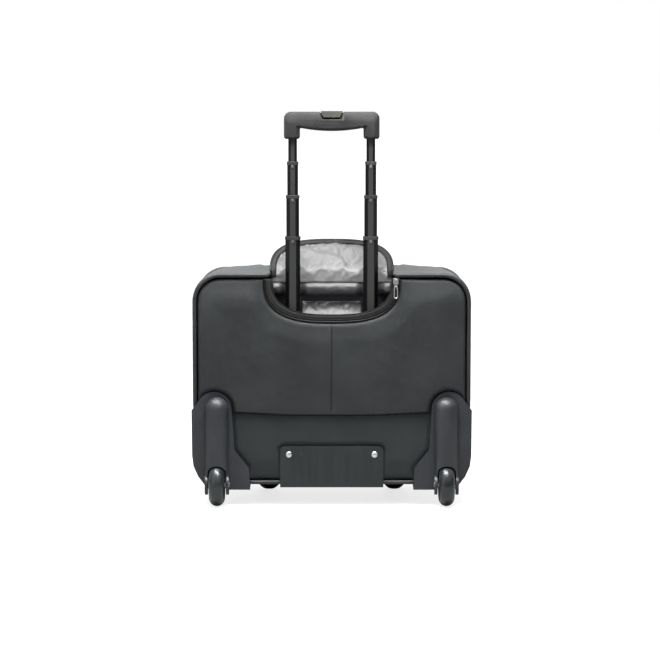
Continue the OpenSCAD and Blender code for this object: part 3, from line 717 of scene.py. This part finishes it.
def rear_skin(name, outline, lines, material, node, seed):
    flat, faces = filled(outline, lines, 3.8)
    edge = away(flat, EDGE)
    seams = np.minimum(away(flat, SEAM_LINE, False), away(flat, SPINE, False))
    rise = panel_rise(flat, edge, seams, seed)
    if node == "rear_upper_panels":
        rise += 4.6 * smooth(PANEL_TOP - flat[:, 1], -8, 50)
        mouth = away(flat, opening(0), False)
        rise *= 0.1 + 0.45 * smooth(mouth, -1, 6) + 0.45 * smooth(mouth, 0, 34)
    free = clear_of_hardware(flat)
    rise = rise * free - 0.2 * (1 - free)
    points, faces = tidied([(x, -r, z) for (x, z), r in zip(flat, rise)], faces)
    SKIN.extend(points)
    leather_skin(name, points, faces, material, "case", node, 0.5, 2.4, True)


def rear_panels():
    hw, top, r = CASE_HW - PIPE_W, PANEL_TOP, CORNER_R - PIPE_W
    sides = joined(
        line((-hw, seam_height(hw) + 0.1), (-hw, top - r), 4), arc(r - hw, top - r, r, 180, 90, 4),
        line((r - hw, top), (-OPEN_A, top), 4), opening(0)[::-1], line((OPEN_A, top), (hw - r, top), 4),
        arc(hw - r, top - r, r, 90, 0, 4), line((hw, top - r), (hw, seam_height(hw) + 0.1), 4),
        beside(SEAM_LINE, 0.1)[::-1])[:-1]
    lines = [beside(SEAM_LINE[1:-1], o) for o in SEAM_ROWS]
    offsets = [-o for o in SEAM_ROWS[::-1]] + [0, *SEAM_ROWS]
    lines += [[(x, z) for _, z in SPINE[1:-1]] for x in offsets]
    rear_skin("rear_upper_leather", sides[::-1], lines, LEATHER, "rear_upper_panels", 3.0)
    low = [p for p in EDGE if p[1] < seam_height(p[0]) - 1]
    kick = joined(low, beside(SEAM_LINE, -0.1)[::-1])
    rear_skin("rear_kick_leather", kick, [beside(SEAM_LINE[1:-1], -o) for o in SEAM_ROWS], KICK,
              "rear_kick_panel", 11.0)


def seam_stitches():
    """The topstitching beside the rear panels' seams, and the dark line of each seam."""
    level = [(x, z) for x, z in SEAM_LINE if abs(x) < 154]
    spine = [(x, z) for x, z in SPINE if SEAM_Z + 5 < z < SPINE_TOP - 3]
    offsets = (-SEAM_STITCH, SEAM_STITCH)
    rows = [on_skin(beside(level, offset), 0.0) for offset in offsets]
    rows += [on_skin([(x, z) for _, z in spine], 0.0) for x in offsets]
    sewn("rear_seam_stitches", rows, REARWARD, "case", "leather", 3.0, 1.1, 0.26)
    cords = [sweep(on_skin(even(run, 3), 0.1), oval(0.5, 0.35, 8), REARWARD) for run in (level, spine)]
    build("rear_seam_lines", *merged(cords), COIL, "case", "leather")


# ---- Rolled edges ----

def outline_run(inset, keep, step=3):
    """The stretches of the case's outline for which keep(x, z) holds."""
    points = case_outline(inset, step)
    start = next(i for i in range(len(points)) if not keep(*points[i - 1]) and keep(*points[i]))
    runs, run = [], []
    for i in range(len(points)):
        x, z = points[(start + i) % len(points)]
        if keep(x, z):
            run.append((x, z))
        elif run:
            runs.append(run)
            run = []
    return runs + ([run] if run else [])


def rolled_edge(name, runs, d, out, node, body, seed, closed=False):
    """A leather roll, pressed back where hardware covers it."""
    parts = []
    for run in runs:
        press = 1 - clear_of_hardware(np.array(run), 6) if out < 0 else np.zeros(len(run))
        path = [(x, d - 2.2 * out * p, fall(x, d, z)) for (x, z), p in zip(run, press)]
        swell = 1 + 0.04 * rough(path, 9, seed) + 0.02 * rough(path, 3, seed + 1)
        parts.append(sweep(path, oval(3.3, 3.1, 16), (0, out, 0), closed, swell))
    leather_skin(name, *merged(parts), PIPING, body, node, 0.8)


def rolled_edges():
    inset, housing_in, housing_overlap = 3.4, 142, 26
    low = span("wheel_housing_right")[2][1] - housing_overlap

    def shows(x, z):
        in_mouth = abs(x) < OPEN_A - BINDING_W and z > PANEL_TOP
        return not in_mouth and not (abs(x) > housing_in and z < low)

    rolled_edge("rear_rolled_edge", outline_run(inset, shows), 0.4, -1, "rear_piping", "case", 2.0)
    rolled_edge("front_rolled_edge", [case_outline(inset, 3)], FRONT_D - 0.4, 1, "lid_piping", "lid",
                6.0, True)


# ---- Gussets ----

CREST_D, CREST_W = 62, 36
COVERED_D = 100
WELL = (160.5, 200.5)
WELL_D = 32
ZIP_FOOT_Z = 60


def outward(run, closed=False):
    """The outward direction at each point of an anticlockwise stretch of the outline."""
    p = np.array(run, float)
    ahead = np.roll(p, -1, axis=0) - np.roll(p, 1, axis=0) if closed else np.gradient(p, axis=0)
    ahead /= np.linalg.norm(ahead, axis=1)[:, None]
    return np.stack([ahead[:, 1], -ahead[:, 0]], axis=1)


def gusset(name, d0, d1, rows, crown, seed, body, node, cut=False):
    """The wall round the case, crowned between its two sewn edges and lined inside. A cut one leaves
    out the handle's opening and the wheel wells."""
    outline = case_outline(0.5, 4)
    inner = OPEN_A - BINDING_W
    for side in (-1, 1):
        corner = (side * inner, CASE_Z1 - 0.5)
        outline[min(range(len(outline)), key=lambda i: math.dist(outline[i], corner))] = corner
    out = outward(outline, True)
    stations = sorted({round(d, 2) for d in np.linspace(d0, d1, rows)} | ({HINGE_D} if cut else set()))
    points = []
    for d in stations:
        t, edge = (d - d0) / (d1 - d0), min(d - d0, d1 - d)
        for (x, z), n in zip(outline, out):
            middle = float(smooth(CASE_HW - abs(x), 25, 130)) * max(0.0, n[1])
            rise = 1.8 * max(0.0, math.sin(math.pi * t)) ** 0.8 if n[1] > -0.6 else 0.0
            if cut and d < COVERED_D:
                middle *= float(smooth(abs(x), inner, inner + 18))
            rise += crown * middle * math.exp(-((d - CREST_D) / CREST_W) ** 2)
            rise -= 1.0 - float(smooth(edge, -1, 5))
            broad = noise.noise(Vector((x, d, z)) / 60 + Vector((seed, 0, 0)))
            pucker = noise.noise(Vector((x, d * 0.35, z)) / 6)
            rise += 0.9 * broad * min(1, edge / 20)
            rise += 0.35 * math.exp(-edge / 9) * pucker
            points.append((x + n[0] * rise, d, fall(x, d, z) + n[1] * rise))
    count = len(outline)

    def skip(r, c):
        x = (outline[c][0] + outline[(c + 1) % count][0]) / 2
        z, d = outline[c][1], (stations[r] + stations[r + 1]) / 2
        return cut and (abs(x) < inner and z > PANEL_TOP and d < HINGE_D
                        or WELL[0] < abs(x) < WELL[1] and z < CASE_Z0 + 20 and d < WELL_D)

    points, faces = tidied(points, [f[::-1] for f in grid_faces(len(stations), count, True, skip)])
    leather_skin(name, points, faces, GUSSET, body, node, 0.5, 3.2, True)


def gussets():
    gusset("main_gusset_leather", 1.2, GUSSET_D1 - 2.8, 34, 8.5, 1.0, "case", "main_gusset", True)
    gusset("front_gusset_leather", LID_D0 + 2.8, LID_D1 + 0.2, 8, 0.0, 4.0, "lid", "lid_gusset")


# ---- Main zip ----

def zip_half(name, d, toward, body, node):
    """One half of the main zip: a strip of tape, and teeth along its free edge."""
    tapes, teeth = [], []
    for run in outline_run(1.6, lambda x, z: z > ZIP_FOOT_Z):
        side = outward(run)
        normal = np.stack([side[:, 0], np.zeros(len(run)), side[:, 1]], axis=1)
        path = [(x, d - toward * 2.6, fall(x, d, z)) for x, z in run]
        tapes.append(sweep(path, oval(2.7, 0.55, 8), normal))
        spots, middle = even(run, 2.5), d - toward * 0.7
        for (x, z), (nx, nz) in zip(spots[1:-1], outward(spots)[1:-1]):
            points, faces = box_points(-0.75, 0.75, middle - 0.5, middle + 0.5, -0.4, 1.3)
            teeth.append(([(x - nz * a + nx * c, at, fall(x, d, z) + nx * a + nz * c)
                           for a, at, c in points], faces))
    build(name + "_tape", *merged(tapes), TAPE, body, "binding", [node])
    build(name + "_teeth", *merged(teeth), COIL, body, "binding")


# ---- The mouth of the handle pocket ----

def mouth_binding():
    """The tape, the cord and the coil round the U-shaped opening."""
    def along(inset, d, step=2.5):
        return [(x, d, z) for x, z in opening(inset, step)]

    tape = [(5.2, 0.2), (4.4, 1.3), (0, 1.6), (-4.4, 1.3), (-5.2, 0.2), (-5.0, -1.2), (5.0, -1.2)]
    build("opening_tape", *sweep(along(7.6, -1.3), tape, REARWARD), BINDING, "case", "binding",
          ["opening_binding"])
    build("opening_cord", *sweep(along(0.9, -1.7), oval(1.5, 1.6, 10), REARWARD), COIL, "case", "binding")
    points, faces = box_points(-1.0, 1.0, -2.9, -0.4, -0.55, 0.55)
    coil = [([(x + a, d, z + c) for a, d, c in points], faces) for x, z in even(opening(12.4, 2.5), 1.9)]
    build("opening_zip_teeth", *merged(coil), COIL, "case", "binding")
    sewn("opening_stitches", [along(inset, -2.85, 2) for inset in (4.8, 9.2)], REARWARD, "case", "binding",
         2.4, 1.0, 0.28)


def beside_tubes(x):
    """0 behind the tubes, rising to 1 clear of them."""
    return smooth(np.abs(np.abs(x) - TUBE_X), 13, 24)


def hung(name, half, low, high, depth, material, step, replaces=(),
         held=None):
    """A sheet of lining in the pocket. depth(x, z) is an array of depths, and a sheet with points that
    held(x, z) picks sags between them."""
    columns, rows = round(2 * half / step), max(6, round((high - low) / step))
    flat = np.array([(x, z) for z in np.linspace(low, high, rows)
                     for x in np.linspace(-half, half, columns)])
    d = depth(flat[:, 0], flat[:, 1])
    points = [(x, dd, z) for (x, z), dd in zip(flat, d)]
    piece = build(name, points, grid_faces(rows, columns), material, "case", "lining", replaces)
    if held:
        settled(piece, [i for i, (x, z) in enumerate(flat) if held(x, z)], (0, 0, -9.8), 0.04)
    thicken(piece, 0.7, offset=0)
    return piece


def pocket_inside():
    """The pocket's lined wall, its rolled hem, and the slack cloth between the tubes."""
    half = span("pocket_lining")[0][1]
    low, high = span("pocket_lining")[2]
    top = span("cover_base")[2][0] - 0.4
    wall_d = HINGE_D - 1.0

    def wall(x, z):
        flat = np.stack([x, z], axis=1)
        return wall_d - np.abs(rough(flat, 34, 8.0)) * 0.6

    # The wall's near-black colour is painted shade.
    hung("pocket_wall", half, low, top, wall, SHADE_PAINTED_WALL, 4.0, ["pocket_lining"])
    hem = 18.5

    def roll(x, z):
        t = np.clip((z - top + hem) / hem, 0, 1)
        flat = np.stack([x, z * 2], axis=1)
        out = np.sqrt(np.clip(1 - (1.6 * t - 0.75) ** 2, 0, 1)) * (0.75 + 0.25 * smooth(1 - t, 0, 0.3))
        fold = 1 + 0.16 * rough(flat, 16, 5.0)
        return wall_d - 0.8 - (0.6 + 7.0 * beside_tubes(x)) * out * fold

    roll_piece = hung("pocket_hem", 93.0, top - hem, top + 0.2, roll, SHADE_PAINTED_HEM, 1.6)
    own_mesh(roll_piece)
    cord = [(x, wall_d - 1.0 - 2.4 * float(beside_tubes(x)), top + 0.3) for x in np.linspace(-96, 96, 90)]
    build("hem_cord", *sweep(cord, oval(1.2, 1.2, 8), REARWARD), COIL, "case", "binding")
    patch_low, patch_high = SPINE_TOP + 4, SPINE_TOP + 31
    inner = TUBE_X - 14.5

    def slope(x, z):
        t = (patch_high - z) / (patch_high - patch_low)
        flat = np.stack([x, z], axis=1)
        out = 1.0 + 17.0 * t ** 1.7 - 2.2 * np.sin(math.pi * t) * (x / inner) ** 2
        return wall_d - out - (1.3 * rough(flat * [1, 0.5], 13, 3.0)) * np.sin(math.pi * t)

    hung("slack_lining", inner, patch_low, patch_high, slope, SHADE_PAINTED_SLACK, 2.2,
         held=lambda x, z: z < patch_low + 0.1 or z > patch_high - 0.1)


# ---- Cover ----

def leant(x, w, v):
    """A place on the cover: w through it towards its outer face, v up from its hinge."""
    return (x, HINGE_D + w * math.cos(COVER_LEAN) + v * math.sin(COVER_LEAN),
            HINGE_Z - w * math.sin(COVER_LEAN) + v * math.cos(COVER_LEAN))


COVER_IN = (0, -math.cos(COVER_LEAN), math.sin(COVER_LEAN))


def cover_outline(inset, foot=0.0):
    return [(x, v) for x, v in even(bow(COVER_A - inset, COVER_L - inset, 1), 3) if v > foot]


LINING_BEND = 9
LINING_FOOT = HINGE_Z - span("cover_base")[2][0]


def bend_at(v):
    """How far the lining leans back at a height, as it turns from the wall to the cover."""
    return COVER_LEAN * float(smooth(v, -LINING_BEND, LINING_BEND))


def lining_spine():
    """The lining's own line up the wall, round a soft bend at the hinge, and up the cover."""
    v, step = -30, 0.5
    d, z, out = HINGE_D - 0.4, HINGE_Z + v, []
    while v < COVER_L:
        angle = bend_at(v)
        out.append((v, d, z, angle))
        d, z, v = d + step * math.sin(angle), z + step * math.cos(angle), v + step
    return np.array(out)


SPINE_OF_LINING = lining_spine()


def on_lining(x, lift, v):
    """A place on the lining, which runs up the case's wall and then up the cover's inside."""
    d, z, angle = (np.interp(v, SPINE_OF_LINING[:, 0], SPINE_OF_LINING[:, k]) for k in (1, 2, 3))
    return (x, d - lift * math.cos(angle), z + lift * math.sin(angle))


def across_hinge(piece):
    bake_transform(piece)


def cover_lining(arch):
    """The satin inside the cover, in one piece with the wall's lining below the hinge."""
    end, wide, low = arch[0][0], OPEN_A - BINDING_W - 0.8, -LINING_FOOT
    outline = joined(arch, line((-end, 1.0), (-wide, -7), 3.5), line((-wide, -7), (-wide, low), 3.5),
                     line((-wide, low), (wide, low), 3.5), line((wide, low), (wide, -7), 3.5),
                     line((wide, -7), (end, 1.0), 3.5))[:-1]
    flat, faces = filled(outline, [], 3.0)
    edge = away(flat, outline)
    folds = np.array([math.sin((x * 0.75 + v) / 9 + 2.2 * noise.noise(Vector((x / 45, v / 35, 2))))
                      for x, v in flat])
    lift = (0.7 * folds + rough(flat, 24, 6.0) * 0.8) * smooth(edge, 0, 14)
    lift = 0.6 + (1.6 * smooth(edge, 0, 18) + lift) * smooth(flat[:, 1], -8, 16)
    points, used = tidied([on_lining(x, r, v) for (x, v), r in zip(flat, lift)], faces)
    lining = build("cover_lining", points, used, SHADE_PAINTED_SATIN, None, "lining", ["cover_base"])
    kept = sorted({i for f in faces for i in f})
    near = 1 - beside_tubes(flat[:, 0])
    held = [k for k, i in enumerate(kept) if edge[i] < 1.0 or flat[i][1] < -15 + 13 * near[i]]
    settled(lining, held, Vector(COVER_IN) * 2.0 + Vector((4, 0, -1)), 0.03, 45)
    thicken(lining, 0.6, offset=0)
    across_hinge(lining)
    area_of(outline)


def cover_leather(arch):
    """The cover's outer side, which is crowned away from its edge."""
    end = arch[0][0]
    flat, faces = filled(joined(arch, line((-end, 1.0), (end, 1.0), 3.5))[:-1], [], 3.5)
    edge = away(flat, arch, False)
    outer = [leant(x, 1.0 + 2.2 * float(smooth(e, 0, 20)), v) for (x, v), e in zip(flat, edge)]
    points, used = tidied(outer, [f[::-1] for f in faces])
    leather_skin("cover_leather", points, used, LEATHER, "cover", "handle_cover", 0.5, 1.2)


def cover_edge(name, inset, section, material, replaces=()):
    """A strip round the cover's edge, which runs on down the wall at both ends."""
    run = cover_outline(inset, 0.4)
    tail = line((run[0][0], -10), (run[0][0], 0.2), 2.5)
    run = joined(tail, run, [(-x, v) for x, v in tail[::-1]])
    normals = [(0, -math.cos(bend_at(v)), math.sin(bend_at(v))) for _, v in run]
    strip = sweep([on_lining(x, 1.2, v) for x, v in run], section, normals)
    across_hinge(build(name, *strip, material, None, "binding", replaces))


def cover():
    arch = cover_outline(6.5, 1.0)
    cover_lining(arch)
    cover_leather(arch)
    tape = [(4.6, 0.4), (3.4, 1.5), (-3.4, 1.5), (-4.6, 0.4), (-4.2, -1.4), (4.2, -1.4)]
    cover_edge("cover_tape", 5.4, tape, BINDING, ["cover_binding"])
    cover_edge("cover_roll", 1.4, oval(2.1, 2.4, 12), COIL)


def area_of(outline):
    p = np.array(outline)
    q = np.roll(p, -1, axis=0)
    return abs(float((p[:, 0] * q[:, 1] - q[:, 0] * p[:, 1]).sum())) / 2 * MM * MM


# ---- Zip sliders and their pulls ----

def zip_hardware(slider, pull):
    """A slider, and a wire pull that hangs from it as an open loop."""
    (x0, x1), (d0, d1), (z0, z1) = span(pull)
    lies = d1 - d0 > z1 - z0
    centre, r = (x0 + x1) / 2, min(d1 - d0, z1 - z0) / 2 + 0.1
    reach, half = max(d1 - d0, z1 - z0) - 2 * r, (x1 - x0) / 2 - r

    def at(u, run):
        return (centre + u, d0 + r + run, z0 + r) if lies else (centre + u, d0 + r, z1 - r - run)

    thin = (0, 0, 1) if lies else (0, -1, 0)
    bend = [(half * math.cos(a), reach - half + half * math.sin(a)) for a in np.linspace(0, math.pi, 13)]
    loop = even([(0.9, 1.2), (half * 0.62, reach * 0.3), (half * 0.95, reach * 0.52), *bend,
                 (-half * 0.95, reach * 0.52), (-half * 0.62, reach * 0.3), (-0.9, 1.2)], 1.0)
    pin, bar = (-1.9, -0.6, 0.6, 1.9), (-half * 0.6, 0, half * 0.6)
    parts = [sweep([at(u, run) for u, run in loop], oval(r, r * 0.85, 10), thin, True),
             sweep([at(u, 0) for u in pin], oval(r, r, 10), thin),
             sweep([at(u, reach * 0.34) for u in bar], oval(r * 0.8, r * 0.8, 8), thin)]
    build(pull + "_wire", *merged(parts), NICKEL, pull, "steel", [pull])
    rounded_edges(bpy.data.objects[slider], 0.9)


def sliders():
    for slider in "cover_slider pocket_slider main_slider_left main_slider_right".split():
        zip_hardware(slider, slider.replace("slider", "pull"))


# ---- Front section ----

def front_skins():
    """The front panel and the pocket sewn on it."""
    outline = case_outline(PIPE_W)
    (_, hw), _, (low, high) = span("front_pocket")
    pocket = rounded(hw, low, high, 22)
    flat, faces = filled(outline, [pocket], 4.2)
    seam = away(flat, pocket)
    rise = panel_rise(flat, away(flat, outline), seam, 21.0) * smooth(seam, -2, 10)
    rise[inside(flat, pocket)] = 0
    points, used = tidied([(x, FRONT_D + r, fall(x, FRONT_D, z)) for (x, z), r in zip(flat, rise)],
                          [f[::-1] for f in faces])
    leather_skin("front_leather", points, used, LEATHER, "lid", "front_panel", 0.5, 2.4, True)
    flat, faces = filled(pocket, [], 4.0)
    edge = away(flat, pocket)
    rise = 0.8 + 5.0 * smooth(edge, -1, 55) + wrinkles(flat, 31.0, edge)
    rise += groove(np.abs(edge - 5), 0.8, 0.4)
    points, used = tidied([(x, FRONT_D + 0.2 + r, z) for (x, z), r in zip(flat, rise)],
                          [f[::-1] for f in faces])
    leather_skin("pocket_leather", points, used, LEATHER, "lid", "front_pocket", 0.4, 1.6)
    row = [(x, FRONT_D + 1.3, z) for x, z in rounded(hw - 3, low + 3, high - 3, 19)]
    sewn("pocket_stitches", [row], (0, 1, 0), "lid", "leather")
    top, end = high + 5.5, hw - 14
    tape = [(x, FRONT_D + 0.6, top) for x in np.linspace(-end, end, 60)]
    section = [(7, 0), (6, 1.0), (-6, 1.0), (-7, 0), (-6, -0.4), (6, -0.4)]
    build("pocket_zip_tape", *sweep(tape, section, (0, 1, 0)), TAPE, "lid", "binding")
    teeth = [box_points(x - 0.55, x + 0.55, FRONT_D + 1.2, FRONT_D + 2.6, top - 2.2, top + 2.2)
             for x in np.arange(-end + 4, end - 4, 2.0)]
    build("pocket_zip_teeth", *merged(teeth), COIL, "lid", "binding")


def side_webs():
    """The folded cloth at each side that holds the front section when it is open."""
    low, high, fold, rows, columns = 60, 300, 30, 40, 14
    for side, name in ((-1, "left"), (1, "right")):
        points = []
        for z in np.linspace(low, high, rows):
            deep = fold * (z - low) / (high - low) + 4
            for t in np.linspace(0, 1, columns):
                x = CASE_HW - 8 - deep * math.sin(math.pi * t)
                x -= 1.5 * noise.noise(Vector((z / 30, t * 3, side)))
                points.append((side * x, ZIP_D0 - 12 + t * (LID_D0 + 16 - ZIP_D0), z))
        web = build("side_web_" + name, points, grid_faces(rows, columns), CASE_LINING, None, "lining")
        thicken(web, 0.8, offset=0)
        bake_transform(web)


# ---- Carry handle ----

def carry_handle():
    """A padded leather roll on two rings, stitched along its inner side."""
    reach, bend, rise, sides = span("carry_handle")[0][1] - 8, 16, 34, 20

    def turned(x, u, v):
        """v up the handle from its pivot, u through it."""
        return (x, CARRY_D + v * math.sin(CARRY_LEAN) + u * math.cos(CARRY_LEAN),
                CARRY_Z + v * math.cos(CARRY_LEAN) - u * math.sin(CARRY_LEAN))

    path = even(joined([(-reach, 1.0), (-reach, rise - bend)],
                       arc(bend - reach, rise - bend, bend, 180, 90, 3),
                       arc(reach - bend, rise - bend, bend, 90, 0, 3), [(reach, 1.0)]), 3)
    along = np.concatenate([[0], np.cumsum([math.dist(a, b) for a, b in zip(path, path[1:])])])
    ends = np.minimum(along, along[-1] - along)
    _, across, _ = frames_along([(x, 0, v) for x, v in path], (0, 1, 0))
    points = []
    for (x, v), end, (aside, _, up) in zip(path, ends, across):
        full = float(smooth(end, 16, 34))
        a, b = 6.0 + 2.2 * full, 2.2 + 5.4 * full
        for s in range(sides):
            t, k = 2 * math.pi * s / sides, 1 + 0.03 * noise.noise(Vector((x / 6, v / 6, s)))
            wide = k * math.cos(t)
            points.append(turned(x + aside * a * wide, b * k * math.sin(t), v + up * a * wide))
    faces = grid_faces(len(path), sides, True) + end_caps(len(path), sides)
    leather_skin("carry_roll", points, faces, LEATHER, "carry_handle", "carry_handle", 0.9)
    ridge = [turned(x, 7.4, v) for (x, v), end in zip(path, ends) if end > 34]
    inward = (0, math.cos(CARRY_LEAN), -math.sin(CARRY_LEAN))
    sewn("carry_stitches", [ridge], inward, "carry_handle", "leather", 3.2, 1.2, 0.35)
    for side, name in ((-1, "left"), (1, "right")):
        x, d, z = turned(side * reach, 0, 0)
        turns = np.linspace(0, 2 * math.pi, 25)[:-1]
        rings = [[(x + shift, d + 4.0 * math.cos(a), z + 4.0 * math.sin(a)) for a in turns]
                 for shift in (-3.0, 3.0)]
        rings = [sweep(ring, oval(1.0, 1.0, 8), (1, 0, 0), True) for ring in rings]
        build("carry_ring_" + name, *merged(rings), NICKEL, "carry_handle", "steel")


# ---- Grip ----

def grip_ring(hw, top, corner, leg, foot, toe, belly, notch):
    """The grip's outline, seen from behind, as the same number of points for any size."""
    (x0, x1), z = notch
    sag = [(leg * t, belly - 5 * (1 - t * t)) for t in np.linspace(-0.97, 0.97, 15)]
    return (arc(hw - corner, top - corner, corner, 0, 90, corner * 0.17)
            + [(x1, top), (x0, z), (-x0, z), (-x1, top)]
            + arc(corner - hw, top - corner, corner, 90, 180, corner * 0.17)
            + [(-hw, foot + toe), (toe - hw, foot), (-leg - toe, foot), (-leg, foot + toe)]
            + [(-leg, belly - 1.999), *sag, (leg, belly - 1.999)]
            + [(leg, foot + toe), (leg + toe, foot), (hw - toe, foot), (hw, foot + toe)])


def grip_shells():
    """The grip's two shells, and the skirt that closes the gap round the release button."""
    (_, hw), (d0, _), (base, top) = span("grip_rear_shell")
    leg, notch = hw - 25, (14.5, 19)
    face = grip_ring(hw - 7.2, top - 13, 5.5, leg + 6.6, base + 3, 1.5, base + 22, (notch, top - 13))
    edge = grip_ring(hw, top, 10.5, leg, base, 2.5, base + 17.5, (notch, top - 10.4))
    sides = len(edge)
    walls = [[a, d, c, b] for a, b, c, d in grid_faces(3, sides, True)]
    walls += [f[::-1] for f in end_caps(3, sides)]
    for name, near, sign in (("grip_rear", d0, 1), ("grip_front", 2 * TUBE_D - d0, -1)):
        depths = [near, near + sign * 5.2, TUBE_D - sign * 0.12]
        points = [(x, d, z) for ring, d in zip((face, edge, edge), depths) for x, z in ring]
        faces = walls if sign > 0 else [f[::-1] for f in walls]
        shell = build(name, points, faces, GRIP, "grip", "moulded", [name + "_shell"])
        bevelled(shell, 0.9, 3, 25)
    rim = [(-13.5, top - 14.2), (13.5, top - 14.2), (19.4, top - 1.2), (-19.4, top - 1.2)]
    skirt = [(x, TUBE_D + d, z) for d in (-1, 1) for x, z in rim]
    faces = [[0, 1, 2, 3], [7, 6, 5, 4]] + [[k, k + 4, (k + 1) % 4 + 4, (k + 1) % 4] for k in range(4)]
    build("button_skirt", skirt, faces, BUTTON, "button", "moulded")


# ---- Hard parts that keep the CAD's shape ----

EDGES = {
    0.9: "wheel_housing_left wheel_housing_right skid_plate",
    0.5: "stage1_tubes stage2_tubes stage3_tubes inner_tubes outer_tubes tube_top_yoke tube_base_bracket",
    0.25: "stage1_collars stage2_collars stage3_collars release_button cover_slider pocket_slider "
          "main_slider_left main_slider_right carry_brackets front_feet skid_rivets wheel_axles "
          "cover_pull pocket_pull main_pull_left main_pull_right",
}


def snap_buttons():
    """The sprung pegs that show through each stage's collars."""
    for stage in "123":
        _, (d0, _), (z0, _) = span(f"stage{stage}_collars")
        pegs = [box_points(x - 1.9, x + 1.9, d0 - 0.4, d0 + 0.6, z0 + 2, z0 + 6.4) for x in (-TUBE_X, TUBE_X)]
        rounded_edges(build("snap_pegs_" + stage, *merged(pegs), HUB, "stage_" + stage, "moulded"), 0.6)


def hard_parts():
    for width, parts in EDGES.items():
        for part in parts.split():
            rounded_edges(bpy.data.objects[part], width)
    for part in "tyre_left tyre_right hub_left hub_right bearings_left bearings_right".split():
        rounded_edges(bpy.data.objects[part], 0.3, 2)


# ---- Camera, light and floor ----

CAMERA_X = -0.0027


def white_world():
    """White to the camera, and as a light brighter above and behind the case."""
    world = bpy.data.worlds.new("white_studio")
    world.use_nodes = True
    tree = world.node_tree
    tree.nodes.clear()
    kinds = "LightPath MixShader Background Background OutputWorld TexCoord SeparateXYZ Math"
    path, mix, seen, lit, output, coordinates, split, total = (
        tree.nodes.new("ShaderNode" + kind) for kind in kinds.split())
    seen.inputs["Color"].default_value = lit.inputs["Color"].default_value = (1, 1, 1, 1)
    tree.links.new(coordinates.outputs["Generated"], split.inputs[0])
    above = ramped(tree, split.outputs["Z"], (0.0, 0.9, 0.03, 1.1))
    behind = ramped(tree, split.outputs["Y"], (0.1, 0.8, 0.0, 0.75))
    for source, target in ((above, total.inputs[0]), (behind, total.inputs[1]),
                           (total.outputs[0], lit.inputs["Strength"]),
                           (path.outputs["Is Camera Ray"], mix.inputs[0]), (lit.outputs[0], mix.inputs[1]),
                           (seen.outputs[0], mix.inputs[2]), (mix.outputs[0], output.inputs["Surface"])):
        tree.links.new(source, target)
    return world


def studio():
    scene = bpy.context.scene
    scene.view_settings.view_transform = "Standard"
    aim = Vector((CAMERA_X, REAR, 0.28))
    camera = bpy.data.objects.new("camera", bpy.data.cameras.new("camera"))
    scene.collection.objects.link(camera)
    camera.location = (CAMERA_X, REAR - 4.0, 0.74)
    camera.rotation_euler = (aim - camera.location).to_track_quat("-Z", "Y").to_euler()
    camera.data.sensor_width, camera.data.lens = 36, 139.1
    camera.data.clip_end = 50
    scene.camera = camera

    scene.world = white_world()

    def area(name, at, target, size, energy):
        light = bpy.data.objects.new(name, bpy.data.lights.new(name, "AREA"))
        scene.collection.objects.link(light)
        light.location = at
        light.rotation_euler = (Vector(target) - Vector(at)).to_track_quat("-Z", "Y").to_euler()
        light.data.shape = "RECTANGLE"
        light.data.size, light.data.size_y = size
        light.data.energy = energy
    area("overhead", (-0.1, REAR - 0.24, 1.25), (0, REAR, 0.30), (1.1, 0.22), 38)
    area("left_soft", (-1.9, REAR - 1.3, 0.9), (0, 0, 0.3), (0.5, 1.2), 5)

    bpy.ops.mesh.primitive_plane_add(size=30, location=(0, 0, 0))
    floor = bpy.context.object
    floor.name = "floor"
    s = Surface("pale_floor", 0.5, Specular_IOR_Level=0.1, Emission_Color=(1, 1, 1, 1))
    glow = s.add("ShaderNodeMath", operation="MULTIPLY")
    s.link(s.add("ShaderNodeLightPath").outputs["Is Camera Ray"], glow.inputs[0])
    glow.inputs[1].default_value = 0.76
    s.link(glow.outputs[0], s.bsdf.inputs["Emission Strength"])
    s.finish(s.blend(s.noise(400, 2.0), grey(0.36), grey(0.39)))
    floor.data.materials.append(s.material)


rear_panels()
seam_stitches()
rolled_edges()
gussets()
zip_half("rear_zip", GUSSET_D1 + 0.2, 1, "case", "main_zip_rear")
zip_half("front_zip", GUSSET_D1 + 0.7, -1, "lid", "lid_zip")
mouth_binding()
pocket_inside()
cover()
sliders()
front_skins()
side_webs()
carry_handle()
grip_shells()
hard_parts()
snap_buttons()
studio()
